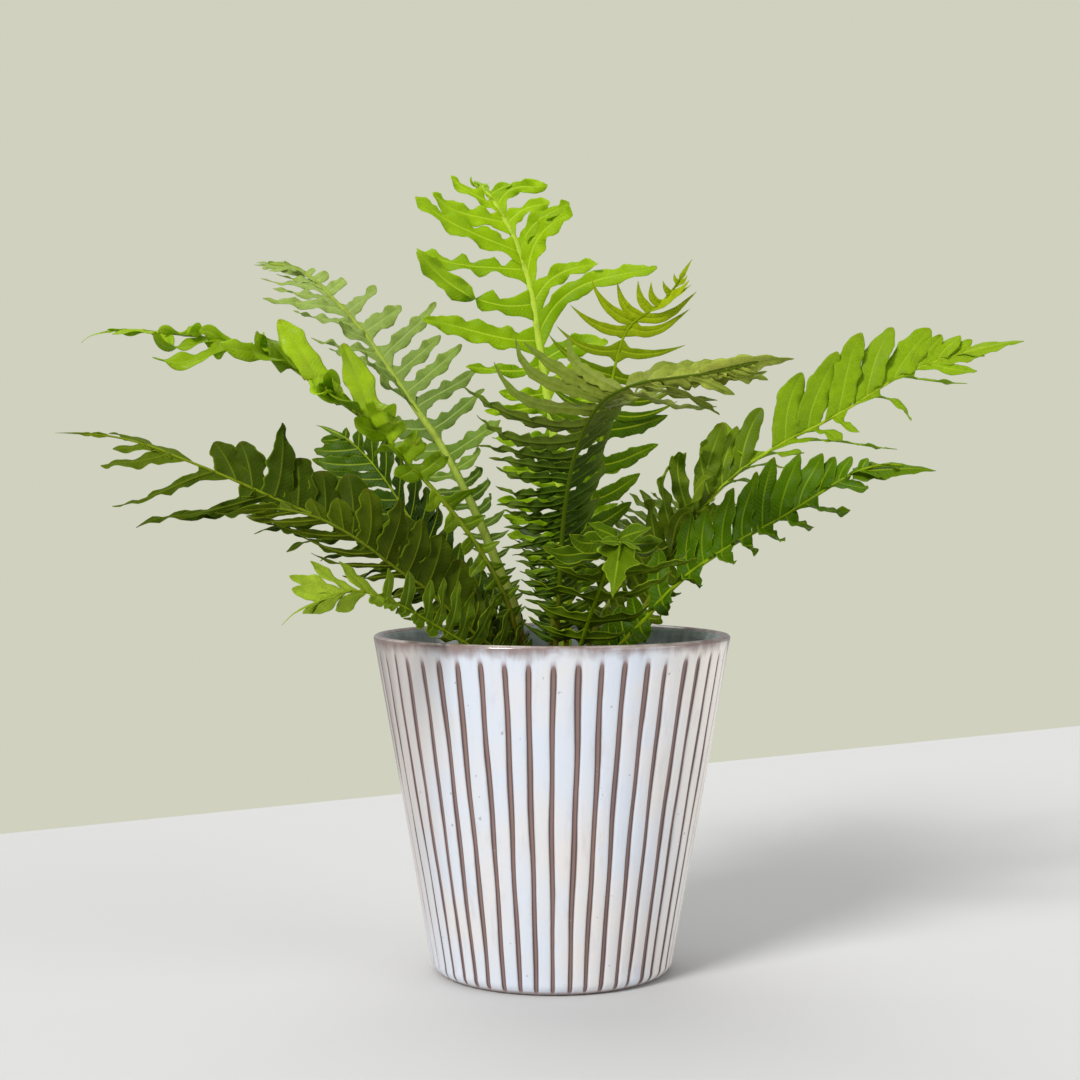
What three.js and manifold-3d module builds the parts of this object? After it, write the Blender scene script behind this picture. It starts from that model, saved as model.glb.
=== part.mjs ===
// A crown-forming fern growing in a ribbed, glazed ceramic cachepot.
// Millimetres, +Z up. The origin is the centre of the pot's flat underside; -Y is the front.
import * as THREE from "three";
import { mergeVertices } from "three/addons/utils/BufferGeometryUtils.js";
import Module from "manifold-3d";

const wasm = await Module();
wasm.setup();

// ---- driving dimensions, mm ----
const POT_HEIGHT = 141.3;
const RIM_RADIUS = 75; // outside, at the lip
const BASE_RADIUS = 51.2; // outside, where the straight wall meets the rounded foot
const FOOT_RADIUS = 45; // flat underside
const FOOT_ROUND = 6;
const WALL = 4.8;
const FLOOR = 7;
const RIBS = 48;
const GROOVE_DEPTH = 1.3;
const GROOVE_TOP = POT_HEIGHT - 6; // the grooves fade out here, under a plain band
const SOIL_TOP = 117;
const SOIL_GAP = 0.5; // between root ball and pot
const CROWN_RADIUS = 20;
const CROWN_BOTTOM = 98;
const CROWN_TOP = 127;
const FIT_GAP = 0.3; // between the crown, the soil and the stipes
const STEM_STEPS = 14; // rings along each stem
const PITCH_SCALE = 1.6; // pinna pitch of these solids against the leaf's own pitch
const PINNA_SHARE = 0.84; // pinna width against its pitch
const PINNA_HALF_THICKNESS = 0.42;
const CLEARANCE = 0.45; // between the leaves of two fronds
const SIMPLIFY = 0.3; // surface tolerance of the joined fronds
const SMALLEST_PINNA = 5;
const SMALL_PINNA = 16; // shorter ones are made without a waist

// ---- the fronds ----
// path: the rachis from its foot in the crown to its tip. left/right: [place along the rachis 0..1,
// dx, dy, dz from the rachis to the pinna's tip], between which the pinnae are interpolated.
// up: the side the leaf's upper face looks to. r: stipe radius at foot and tip. gap: pitch of the pinnae on one side.
const FRONDS = [
  {
    name: "frond_back_tall", up: [0,-1,0.2], r: [2.1,0.75], gap: 13, tip: 9,
    path: [[5,9,117], [6.1,15,149.3], [4.5,20,169.8], [3.7,28,197.4], [0.3,38,230.4], [-2.5,43,246.1], [-3.9,46,257.5], [-5.7,50,269], [-7.2,53,280.6], [-9.1,56,291.2], [-11.9,60,302], [-15.3,64,313.1], [-20.1,68,323.1], [-25,73,332], [-29.9,79,339.3], [-33.3,86,343.7]],
    left: [[0.132,-9.8,-3,2.8], [0.333,-29.5,-5,-0], [0.502,-41.4,-6,-1.3], [0.596,-44.5,-6,-10.9], [0.656,-51.7,-6,7.4], [0.714,-53.1,-8,17.4], [0.775,-48.5,-6,9], [0.839,-46.2,-8,16], [0.875,-35.5,-6,9.6], [0.921,-21.8,-6,11], [0.964,-9.1,-3,4.6]],
    right: [[0.132,9.4,-3,3.6], [0.333,28,-5,5.1], [0.504,39.7,-6,7.1], [0.596,46.8,-6,8.4], [0.656,54.9,-8,24.8], [0.74,34.8,-8,8.2], [0.807,26.8,-8,15.7], [0.864,23.8,-6,9.4], [0.921,24.5,-6,7.6], [0.964,12,-3,3.2]],
  },
  {
    name: "frond_front_arching", up: [0.1,0.6,0.8], r: [1.9,0.7], gap: 8.2, tip: 14,
    path: [[-1,-10,117], [1.6,-18,139.6], [2.8,-22,160.4], [3.9,-30,182.6], [5.4,-38,197.2], [7.6,-47,210.4], [10.8,-56,221.3], [14.5,-65,228.9], [18.9,-75,234.7], [25.3,-86,238.2], [33.7,-97,240.5], [47.5,-108,241.8], [60.4,-115,243.3], [72.8,-120,246.2]],
    left: [[0.112,-10.8,4,4.7], [0.322,-19.5,6,-5], [0.399,-24.2,10,-2], [0.445,-29,14,0.8], [0.501,-36.3,20,1.9], [0.542,-44.1,26,5], [0.581,-51.4,32,7.7], [0.626,-51.1,36,12.1], [0.665,-48.7,40,19.6], [0.719,-30.3,30,19.4], [0.785,-15.9,22,12.9], [0.865,-5,10,9.8], [0.936,1.5,4,5]],
    right: [[0.112,9.9,4,3.9], [0.322,12.3,6,4.8], [0.399,15.5,10,6.9], [0.473,17.6,12,6.4], [0.542,21.6,14,3.7], [0.581,26.1,16,5.3], [0.626,28.8,16,3.8], [0.676,35.8,10,-2], [0.719,36.2,2,-11.1], [0.785,21.8,-4,-6.1], [0.865,13.4,-6,-8.1], [0.936,8.9,-4,-2.8]],
  },
  {
    name: "frond_young", up: [-0.3,-0.9,0.2], r: [1.6,0.55], gap: 7, tip: 7,
    path: [[5,0,119], [7.2,3,150.9], [10.6,4,171.9], [16.2,6,197.3], [21.7,8,227], [25.6,10,248.3], [30.1,11,265.6], [33.7,11,271.9], [38.1,10,275.3], [46,8,280.5], [52,5,287.3], [55.5,1,293]],
    left: [[0.17,-8.8,3,4], [0.42,-21.2,6,4.3], [0.579,-24.6,6,9.6], [0.704,-26.3,4,16.4], [0.764,-26,2,11.2], [0.81,-25.8,0,13.1], [0.836,-17,-2,16.7], [0.858,-10.3,-3,15], [0.883,-6.3,-4,12.7], [0.908,-4.6,-4,9.1], [0.94,-3.3,-4,5.5], [0.971,-1.9,-2,3.7]],
    right: [[0.17,9.8,3,4], [0.42,22.4,8,12.9], [0.579,30.7,8,6.3], [0.704,25.5,6,2.4], [0.764,27.9,4,1.6], [0.82,27.2,0,8.5], [0.857,22.4,-4,10.3], [0.894,15.5,-6,8.4], [0.933,8.5,-5,5.7], [0.971,3.5,-3,2.7]],
  },
  {
    name: "frond_right_upper", up: [-0.2,-0.75,0.65], r: [1.9,0.6], gap: 13, tip: 16,
    path: [[12,6,116], [28.2,10,137.7], [40.4,14,152.8], [48.3,18,168.1], [55.5,22,179.7], [64.9,26,193], [80.9,30,208.9], [101.4,34,222.4], [117.4,37,230.4], [133.7,40,239.5], [152,43,250.9], [168.8,45,258.2], [183.6,46,263.1], [194.7,46,265.8]],
    left: [[0.11,-5,4,14.3], [0.262,-9.9,8,21.5], [0.354,-14.7,10,31.8], [0.436,-10.4,10,26.3], [0.497,-9,10,19.9], [0.563,-4.4,8,19], [0.608,3,8,28.4], [0.656,8.9,8,32.7], [0.715,7.3,8,33.4], [0.775,9.5,8,28.5], [0.838,12.3,7,21], [0.899,4.5,5,12.1], [0.947,1.1,3,8.3], [1,-0.7,1,3.6]],
    right: [[0.11,12.3,-8,-0.3], [0.262,14,-18,-8.7], [0.387,19.4,-24,-5], [0.451,15.5,-26,-3.7], [0.53,23.3,-26,-5.3], [0.609,36.1,-20,-8.8], [0.656,24.7,-18,-10.3], [0.715,25.9,-16,-8.9], [0.784,28.9,-14,-5.1], [0.843,26.1,-10,-6.5], [0.899,16.3,-6,-4.7], [0.954,8.2,-3,-2.4], [1,3.3,-1,-1]],
  },
  {
    name: "frond_right_lower", up: [-0.1,-0.8,0.6], r: [1.8,0.6], gap: 9.8, tip: 14,
    path: [[14,-5,114], [25,-8,132.7], [36.4,-12,145.5], [45.3,-16,156.4], [56.5,-20,167.3], [75.1,-26,180.1], [93.2,-31,190.4], [109,-35,200.8], [121.1,-38,208.2], [130.7,-40,211.1], [139.3,-41,211.1]],
    left: [[0.131,-0.8,2,14.5], [0.235,-3.1,4,14.3], [0.323,-0.6,4,22.2], [0.419,1.1,4,23.4], [0.462,1.9,4,23.2], [0.516,5.5,4,25.3], [0.574,6.2,4,26.6], [0.629,7.1,4,29.3], [0.676,9.9,4,26.7], [0.73,11.1,4,20.8], [0.784,8.5,3,15.6], [0.842,6.3,2,10], [0.905,2.5,1,4.7], [0.972,0.8,0,1.4]],
    right: [[0.131,6.2,-10,-3.3], [0.235,3.3,-16,-5.1], [0.323,2.7,-20,-4.6], [0.419,2.3,-22,-5.2], [0.516,3.9,-24,-5.8], [0.629,6.5,-24,-5.6], [0.692,10.9,-22,-6.7], [0.748,17.6,-18,-4.3], [0.842,12.3,-12,-3.8], [0.905,8.5,-6,-3.4], [0.972,3.6,-2,-1.4]],
  },
  {
    name: "frond_front_drooping", up: [0,0.5,0.85], r: [1.5,0.6], gap: 8.5, tip: 17,
    path: [[6,-13,115], [9.8,-18,132.2], [11.8,-22,138.3], [14.4,-30,147.6], [17.4,-40,157.4], [19.7,-50,165.8], [21.6,-61,173.4], [23.1,-72,179.5], [24.4,-83,182.7], [24.7,-93,180.3], [23.8,-98,174.8]],
    left: [[0.151,-8.2,0,3.3], [0.244,-17.2,2,2.8], [0.327,-23,3,5.6], [0.436,-27.9,4,7.4], [0.54,-29,4,7], [0.648,-25,2,3.8], [0.747,-20.4,-4,0.9], [0.816,-15.1,-8,0.1], [0.918,-11.4,-10,-2.4], [1,-4.6,-3,-2.1]],
    right: [[0.151,8.2,0,2.5], [0.244,18.3,0,0.5], [0.327,26.9,2,3.2], [0.436,32.9,4,7], [0.542,37.7,2,6.4], [0.648,31.6,-2,6.2], [0.747,20.5,-8,-1.7], [0.816,14.4,-10,0.5], [0.918,7,-10,-3.1], [1,3.9,-3,-2.4]],
  },
  {
    name: "frond_left_long", up: [0.2,-0.5,0.85], r: [1.9,0.55], gap: 8.8, tip: 10,
    path: [[-9,-8,117], [-13.7,-10,134.9], [-17,-14,150.5], [-23.6,-19,166], [-32.8,-24,181.7], [-46.5,-30,199.6], [-60.1,-34,214.2], [-71.2,-36,226.1], [-83.1,-37,235.2], [-97.3,-37,245.2], [-111.4,-35,254.6], [-124.5,-33,260], [-138.3,-30,262.6], [-152.6,-27,264.5], [-165.8,-24,266], [-177.2,-22,266.6], [-185.1,-20,265.5]],
    left: [[0.072,-9.5,-6,4.6], [0.204,-9.8,-10,-9.3], [0.277,-11.2,-12,-12.6], [0.322,-12.5,-12,-11.2], [0.368,-10.3,-12,-12], [0.42,-9.9,-12,-11.3], [0.465,-10.7,-12,-8.6], [0.539,-10.1,-12,-5.2], [0.597,-8,-14,-4.6], [0.654,-9.3,-14,-5.2], [0.72,-12.8,-12,-8.5], [0.78,-24.7,-8,-13.1], [0.822,-21,-6,-8.4], [0.87,-18.9,-3,-1.1], [0.923,-11.4,-2,-1.4], [0.968,-4.7,-1,-1.3]],
    right: [[0.072,5.3,6,8.8], [0.166,5.4,8,5.2], [0.224,10.1,8,0.8], [0.258,9.5,10,2.9], [0.304,12.2,10,5.6], [0.345,12.4,12,9.4], [0.398,13,12,9.2], [0.443,16.8,12,12.3], [0.487,16.3,12,14.1], [0.528,-6.5,8,22.5], [0.568,-7.9,6,21.7], [0.612,-12.1,4,22.6], [0.654,-13.1,2,15.1], [0.702,-16,0,10.8], [0.758,-14.9,0,7.2], [0.822,-13.3,0,3.8], [0.87,-12.2,0,2.8], [0.923,-9.4,0,1.6], [0.968,-4.9,0,0.4]],
  },
  {
    name: "frond_back_left", up: [0.35,-0.9,0.2], r: [2.3,0.6], gap: 10, tip: 9,
    path: [[-7,6,118], [-13.5,8,137.8], [-17,14,154.1], [-23.1,21,168.9], [-31.2,30,187.8], [-41.9,40,209.3], [-50,48,223.3], [-62.4,58,240.7], [-75.2,69,259], [-87.8,80,276.4], [-100.7,90,290.4], [-109.8,96,299.5], [-117.3,100,305.1], [-126.2,103,308.6], [-133,104,309.4]],
    left: [[0.081,-8.6,2,4.1], [0.218,-8.8,4,2.5], [0.305,-15.2,8,-1], [0.405,-22.1,10,-2], [0.508,-27.7,12,1.8], [0.593,-30.7,12,8.1], [0.658,-36.7,12,10.6], [0.724,-33.5,12,8.5], [0.784,-43.6,12,8.4], [0.836,-38.2,12,8.5], [0.892,-24.5,8,3.2], [0.938,-18.8,5,-0.2], [0.973,-12.7,3,-0.8]],
    right: [[0.081,5.1,0,3.4], [0.2,7.8,-2,3.9], [0.269,12.4,-4,5.2], [0.324,14.3,-6,10.5], [0.381,17.7,-8,12.3], [0.444,20.1,-8,13.6], [0.508,21.9,-8,17.3], [0.567,26.2,-8,22.7], [0.632,24.6,-8,22.6], [0.691,21.8,-8,19.7], [0.756,18.7,-7,15.8], [0.814,14.9,-6,11.6], [0.87,10.2,-5,7.8], [0.924,6.8,-3,3.7], [0.961,4.6,-2,2.1]],
  },
  {
    name: "frond_left_dark", up: [0,0.75,0.6], r: [1.8,0.55], gap: 11, tip: 13,
    path: [[-14,-1,115], [-18.4,-4,133.6], [-34.2,-8,147.3], [-54.7,-12,163.3], [-77.1,-16,178.7], [-96,-20,190.3], [-107.3,-22,195.2], [-117.3,-24,199.7], [-128.6,-25,204.9], [-140,-26,209.8], [-151.4,-26,214.3], [-160.5,-25,218], [-171,-24,221.3], [-181.5,-22,223.4], [-190.7,-21,224.2]],
    left: [[0.089,1.6,6,13.1], [0.187,2.3,8,16.3], [0.307,2.7,10,19.7], [0.432,2.7,12,18.6], [0.489,4,12,19.5], [0.535,1.1,12,20.3], [0.577,0.8,13,21.6], [0.625,2.5,14,30.7], [0.668,-2.9,14,21.3], [0.717,-4.4,12,15.6], [0.763,-5,9,10.7], [0.812,-6,6,6.3], [0.857,-4.9,4,5], [0.908,-6.8,2,4.9], [0.958,-4.3,1,2.5]],
    right: [[0.089,-9,-8,-0.6], [0.187,-10.2,-12,-2.6], [0.307,-12,-16,-3.4], [0.432,-15.5,-20,-4], [0.535,-19.8,-22,-4.3], [0.593,-27.4,-24,-7.3], [0.655,-29,-24,-8.4], [0.701,-39.2,-22,-17.8], [0.744,-38,-20,-12], [0.792,-28.2,-16,-6.7], [0.853,-22.2,-10,-5.6], [0.908,-14,-6,-4.7], [0.958,-9.3,-2,-2.1]],
  },
  {
    name: "frond_left_low", up: [0.1,0.7,0.6], r: [1.6,0.55], gap: 10, tip: 10,
    path: [[-12,-11,113], [-17.4,-18,129.4], [-33.4,-28,144.4], [-51.2,-40,162], [-58.6,-46,167.4], [-66,-52,173.5], [-73.1,-58,179.6], [-81.2,-64,185.3], [-89.3,-69,189.8], [-99.4,-74,192.9], [-107.6,-77,194], [-113.4,-79,193.6]],
    left: [[0.122,4.1,6,16.1], [0.281,4.6,8,18], [0.371,5.5,8,19.5], [0.462,7.4,8,19.9], [0.534,8.3,8,23.4], [0.608,7,8,24.8], [0.681,1.9,8,22.3], [0.757,-2.8,8,14.9], [0.826,-4.8,6,8.5], [0.902,-5.2,3,3.8], [0.96,-4.7,1,1.9]],
    right: [[0.122,-8.8,-8,-2.2], [0.281,-12.4,-12,-3.2], [0.462,-17.2,-16,-3.2], [0.538,-21.6,-17,-0.4], [0.582,-32,-18,4.6], [0.648,-32.9,-18,7.2], [0.734,-32.1,-14,4.2], [0.826,-26.5,-9,-0.7], [0.902,-17.8,-5,-2.3], [0.96,-7.3,-2,-1.9]],
  },
  {
    name: "frond_low_splayed", up: [0.1,0.45,0.9], r: [1.5,0.55], gap: 7, tip: 20,
    path: [[-7,-16,113], [-13.2,-22,126.8], [-25.2,-33,133.4], [-36.4,-44,141.1], [-46.9,-56,148.4], [-57.1,-68,155.6], [-66.9,-80,161.1], [-73.5,-88,162.9], [-79.8,-96,162.2], [-85.8,-102,159.9]],
    left: [[0.124,4.1,2,13], [0.257,7.2,2,18.5], [0.346,7.8,2,20.9], [0.455,3.1,2,19.9], [0.558,1.7,2,15.4], [0.652,1.1,2,14.5], [0.738,1,-0,12.3], [0.812,-10.4,-2,10.8], [0.886,-16.6,-4,11.5], [0.934,-16.3,-6,6.5], [0.979,-11.8,-5,3.4]],
    right: [[0.124,-5.9,-14,-2], [0.257,-4.3,-18,-2.5], [0.389,-2.7,-20,-2.9], [0.522,-1.9,-20,-3.1], [0.652,-1.9,-20,-2.8], [0.777,-2.4,-18,-3.2], [0.856,-8.9,-12,-7.5], [0.934,-10.2,-8,-7.3], [0.979,-8.9,-5,-5.4]],
  },
  {
    name: "frond_back_low_left", up: [0.3,-0.8,0.5], r: [1.6,0.5], gap: 7, tip: 8,
    path: [[-10,11,115], [-17,16,137.3], [-31,22,151.5], [-43.4,29,164.7], [-54.8,36,178.5], [-62.5,42,189.5], [-67.9,46,197.6], [-74.5,51,207], [-83.3,57,217.3], [-93.3,62,225.8], [-100.4,65,229.3]],
    left: [[0.151,-7.8,2,2.4], [0.405,-14.3,6,-0.2], [0.526,-16.8,8,0.7], [0.686,-23.5,10,2.6], [0.764,-27.3,10,2.2], [0.828,-27.4,10,2], [0.892,-19.6,8,-0.1], [0.947,-11,5,-1], [1,-5.7,2,-1.3]],
    right: [[0.151,3.4,0,12.8], [0.405,4.5,-3,15.3], [0.526,6.1,-4,18.9], [0.619,4.7,-5,22], [0.686,1.9,-5,22.8], [0.764,1.5,-5,19.7], [0.828,0.2,-4,15.5], [0.892,1.1,-3,9.5], [0.947,1.1,-2,4.6], [1,0.6,-1,2.7]],
  },
  {
    name: "frond_back_right", up: [-0.4,-0.5,0.8], r: [1.7,0.55], gap: 8.6, tip: 12,
    path: [[9,13,115], [18.3,20,140.4], [26.6,34,154.4], [35.3,52,167.9], [44.6,74,180.1], [53.5,98,188.2], [61.3,122,191.9], [68.4,144,191.8], [73.7,160,188.7]],
    left: [[0.145,-8.6,2,4.2], [0.257,-14.8,6,5.9], [0.382,-20.4,8,7.9], [0.52,-20.8,10,11], [0.659,-17.4,12,11.3], [0.792,-11.7,14,8.8], [0.911,-6.3,10,5], [1,-2.8,4,2]],
    right: [[0.145,11.1,-2,1], [0.257,18.3,-2,2.8], [0.382,24,-2,2.7], [0.52,25.7,0,4.6], [0.659,23.9,4,6.6], [0.792,19.2,8,4.8], [0.911,11.6,8,3], [1,5.3,4,2]],
  },
  {
    name: "frond_back_low", up: [0,-0.3,1], r: [1.7,0.55], gap: 8.6, tip: 12,
    path: [[-1,15,114], [0.6,26,144.4], [2.1,44,157.5], [2.3,68,167.9], [1.1,94,175], [-0.2,120,178.3], [-1.5,144,177.4], [-3,164,173], [-4.5,178,167]],
    left: [[0.167,-6.9,4,4.1], [0.283,-11.6,4,7], [0.418,-18.8,5,7.6], [0.557,-20.3,6,7.5], [0.692,-19,8,5.7], [0.815,-14,8,3.9], [0.921,-7.1,6,1.9], [1,-3.6,3,1.5]],
    right: [[0.167,8.8,4,3.2], [0.283,15.2,4,5.2], [0.418,21.6,5,5.8], [0.557,22.3,6,5.6], [0.692,19.1,8,3.8], [0.815,13,8,2.9], [0.921,6.6,6,1.4], [1,3.6,3,1]],
  },
];

// ---- solids ----
const MATERIALS = {
  glaze: new THREE.MeshStandardMaterial({ color: 0xe2e6e9, roughness: 0.22, metalness: 0 }),
  soil: new THREE.MeshStandardMaterial({ color: 0x3a2a20, roughness: 0.95, metalness: 0 }),
  crown: new THREE.MeshStandardMaterial({ color: 0x5b4630, roughness: 0.9, metalness: 0 }),
  bright: new THREE.MeshStandardMaterial({ color: 0x8fb52a, roughness: 0.5, metalness: 0 }),
  green: new THREE.MeshStandardMaterial({ color: 0x5f8a24, roughness: 0.5, metalness: 0 }),
  dark: new THREE.MeshStandardMaterial({ color: 0x3e6015, roughness: 0.5, metalness: 0 }),
};
const FROND_MATERIAL = {
  frond_back_tall: "bright", frond_young: "bright", frond_low_splayed: "bright",
  frond_front_arching: "dark", frond_left_dark: "dark", frond_left_low: "dark", frond_back_low_left: "dark",
};

// A closed geometry as a manifold solid.
function solid(geometry) {
  const g = geometry.clone();
  g.deleteAttribute("normal");
  g.deleteAttribute("uv");
  const m = mergeVertices(g, 1e-3);
  return new wasm.Manifold(
    new wasm.Mesh({ numProp: 3, vertProperties: m.attributes.position.array, triVerts: new Uint32Array(m.index.array) }),
  );
}

// A manifold solid as a geometry with flat normals.
function geometryOf(manifold) {
  const m = manifold.getMesh();
  const positions = new Float32Array(m.triVerts.length * 3);
  m.triVerts.forEach((v, i) => positions.set(m.vertProperties.subarray(v * m.numProp, v * m.numProp + 3), i * 3));
  const g = new THREE.BufferGeometry();
  g.setAttribute("position", new THREE.BufferAttribute(positions, 3));
  g.computeVertexNormals();
  return g;
}

// A turned solid about Z: the profile is [radius, height] pairs from the axis to the axis, bottom first.
function turned(profile, segments) {
  const g = new THREE.LatheGeometry(profile.map(([r, z]) => new THREE.Vector2(r, z)), segments);
  g.rotateX(Math.PI / 2);
  return g;
}

function wallRadius(z) {
  return BASE_RADIUS + ((RIM_RADIUS - BASE_RADIUS) * (z - FOOT_ROUND)) / (POT_HEIGHT - FOOT_ROUND);
}

// ---- the pot: a fluted outside, less its cavity ----
function potSolid() {
  const outside = turned(
    [
      [0, 0], [FOOT_RADIUS, 0], [FOOT_RADIUS + 4.2, 1.8], [wallRadius(FOOT_ROUND), FOOT_ROUND],
      [wallRadius(GROOVE_TOP - 4), GROOVE_TOP - 4], [wallRadius(GROOVE_TOP), GROOVE_TOP],
      [RIM_RADIUS - 0.3, POT_HEIGHT - 1.6], [RIM_RADIUS - 1.6, POT_HEIGHT], [0, POT_HEIGHT],
    ],
    RIBS * 2,
  );
  const p = outside.getAttribute("position");
  const groove = Math.PI / RIBS;
  for (let i = 0; i < p.count; i++) {
    const x = p.getX(i), y = p.getY(i), z = p.getZ(i), r = Math.hypot(x, y);
    if (r < FOOT_RADIUS + 1 || z > GROOVE_TOP - 1) continue;
    const step = Math.round(Math.atan2(y, x) / groove);
    if (Math.abs(step) % 2 === 0) continue;
    const depth = z < FOOT_ROUND - 1 ? GROOVE_DEPTH * 0.6 : GROOVE_DEPTH;
    p.setX(i, (x * (r - depth)) / r);
    p.setY(i, (y * (r - depth)) / r);
  }
  const cavity = turned(
    [
      [0, FLOOR], [wallRadius(FLOOR) - WALL - 6, FLOOR], [wallRadius(FLOOR + 6) - WALL, FLOOR + 6],
      [RIM_RADIUS - WALL, POT_HEIGHT - 1.2], [RIM_RADIUS - WALL + 1, POT_HEIGHT + 1], [0, POT_HEIGHT + 1],
    ],
    RIBS,
  );
  return solid(outside).subtract(solid(cavity));
}

// ---- the root ball, with a socket for the crown ----
function soilSolid() {
  const inner = (z) => wallRadius(z) - WALL - SOIL_GAP;
  const ball = turned(
    [
      [0, FLOOR + SOIL_GAP], [inner(FLOOR) - 7, FLOOR + SOIL_GAP], [inner(FLOOR + 7), FLOOR + 7],
      [inner(SOIL_TOP - 2), SOIL_TOP - 2], [inner(SOIL_TOP) - 2.5, SOIL_TOP], [CROWN_RADIUS + 8, SOIL_TOP + 0.8], [0, SOIL_TOP + 1.5],
    ],
    40,
  );
  return solid(ball).subtract(solid(turned(crownProfile(FIT_GAP), 20)));
}

function crownProfile(grow) {
  return [
    [0, CROWN_BOTTOM - grow], [CROWN_RADIUS * 0.62 + grow, CROWN_BOTTOM - grow], [CROWN_RADIUS * 0.94 + grow, CROWN_BOTTOM + 9],
    [CROWN_RADIUS + grow, SOIL_TOP - 1], [CROWN_RADIUS * 0.93 + grow, CROWN_TOP - 6], [CROWN_RADIUS * 0.68 + grow, CROWN_TOP - 2 + grow],
    [CROWN_RADIUS * 0.3, CROWN_TOP + grow], [0, CROWN_TOP + 0.3 + grow],
  ];
}

// ---- fronds ----
const v3 = (a) => new THREE.Vector3(...a);

function rachisCurve(frond) {
  const curve = new THREE.CatmullRomCurve3(frond.path.map(v3), false, "centripetal");
  curve.arcLengthDivisions = 400;
  return curve;
}

// Bends a unit-long upright geometry (its Y from -0.5 to 0.5) so that its Y follows frameAt(0..1).
function bend(geometry, frameAt) {
  const p = geometry.getAttribute("position");
  for (let i = 0; i < p.count; i++) {
    const f = frameAt(THREE.MathUtils.clamp(p.getY(i) + 0.5, 0, 1));
    const q = f.origin.clone().addScaledVector(f.across, p.getX(i)).addScaledVector(f.normal, p.getZ(i));
    p.setXYZ(i, q.x, q.y, q.z);
  }
  return geometry;
}

// The stem's own centre line, which is straight between its rings.
function stemPoint(curve, s) {
  const k = Math.min(STEM_STEPS - 1, Math.floor(s * STEM_STEPS));
  return curve.getPointAt(k / STEM_STEPS).lerp(curve.getPointAt((k + 1) / STEM_STEPS), s * STEM_STEPS - k);
}

// A tapered round stem along the rachis, fattened by grow.
function stemSolid(frond, grow = 0, to = 1, sides = 5) {
  const curve = rachisCurve(frond), steps = Math.round(STEM_STEPS * to);
  const frames = curve.computeFrenetFrames(200, false);
  const g = new THREE.CylinderGeometry(1, 1, 1, sides, steps);
  return solid(
    bend(g, (s) => {
      const u = s * to, k = Math.min(200, Math.round(u * 200));
      const r = THREE.MathUtils.lerp(frond.r[0], frond.r[1], u) + grow;
      return {
        origin: curve.getPointAt(u),
        across: frames.normals[k].clone().multiplyScalar(r),
        normal: frames.binormals[k].clone().multiplyScalar(-r),
      };
    }),
  );
}

function offsetAt(knots, s) {
  if (s <= knots[0][0]) return v3(knots[0].slice(1));
  for (let i = 1; i < knots.length; i++)
    if (s <= knots[i][0]) {
      const t = (s - knots[i - 1][0]) / (knots[i][0] - knots[i - 1][0] || 1);
      return v3(knots[i - 1].slice(1)).lerp(v3(knots[i].slice(1)), t);
    }
  return v3(knots.at(-1).slice(1));
}

// One pinna: a slim keeled blade from the rachis to its tip, a little bowed towards the frond's tip.
function pinnaSolid({ root, tip, tangent, side, width }, grow = 0) {
  const chord = tip.clone().sub(root), length = chord.length(), dir = chord.clone().normalize();
  const normal = new THREE.Vector3().crossVectors(tangent, dir).multiplyScalar(side).normalize();
  const across = new THREE.Vector3().crossVectors(normal, dir).multiplyScalar(side);
  if (across.dot(tangent) < 0) across.negate();
  const mid = root.clone().addScaledVector(chord, 0.5).addScaledVector(across, -0.07 * length).addScaledVector(normal, 0.05 * length);
  const curve = new THREE.QuadraticBezierCurve3(root, mid, tip);
  const shape = (s) => (s < 0.3 ? 1 : s < 0.8 ? 0.86 : 0);
  const small = length < SMALL_PINNA;
  const g = new THREE.CylinderGeometry(0, 1, 1, 4, small ? 1 : 2);
  const right = new THREE.Vector3().crossVectors(across, dir);
  return solid(
    bend(g, (s) => {
      const w = s > 0.99 ? 0 : (width / 2) * shape(s) + grow;
      return {
        origin: curve.getPoint(s > 0.2 && s < 0.8 ? 0.6 : s),
        across: across.clone().multiplyScalar(w),
        normal: right.clone().multiplyScalar(s > 0.99 ? 0 : PINNA_HALF_THICKNESS + grow),
      };
    }),
  );
}

function pinnaeOf(frond) {
  const curve = rachisCurve(frond), total = curve.getLength(), list = [];
  for (const [knots, side] of [[frond.left, 1], [frond.right, -1]]) {
    const longest = Math.max(...knots.map((k) => Math.hypot(k[1], k[2], k[3])));
    let s = knots[0][0] + (side > 0 ? 0 : (0.5 * frond.gap) / total);
    while (s < 0.985) {
      const offset = offsetAt(knots, s), size = offset.length();
      const pitch = frond.gap * PITCH_SCALE * (0.45 + 0.55 * Math.min(1, (1.35 * size) / longest));
      if (size >= SMALLEST_PINNA) {
        const root = stemPoint(curve, s);
        const tangent = curve.getTangentAt(s), lean = Math.sin(tangent.angleTo(offset));
        list.push({ root, tip: root.clone().add(offset), tangent, side, width: pitch * PINNA_SHARE * Math.max(0.35, lean) });
      }
      s += pitch / total;
    }
  }
  const root = stemPoint(curve, 1 - 2 / total), t = curve.getTangentAt(1);
  list.push({
    root, tip: root.clone().addScaledVector(t, Math.max(6, frond.tip)), side: 1, width: frond.gap * 0.55,
    tangent: new THREE.Vector3().crossVectors(v3(frond.up), t).normalize(),
  });
  return list;
}

const boxesMeet = (a, b) =>
  [0, 1, 2].every((i) => a.min[i] < b.max[i] && b.min[i] < a.max[i]);
function meets(a, others) {
  const box = a.boundingBox();
  return others.some((o) => boxesMeet(box, o.box) && a.intersect(o.solid).volume() > 1e-4);
}
const known = (s) => ({ solid: s, box: s.boundingBox() });

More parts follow.
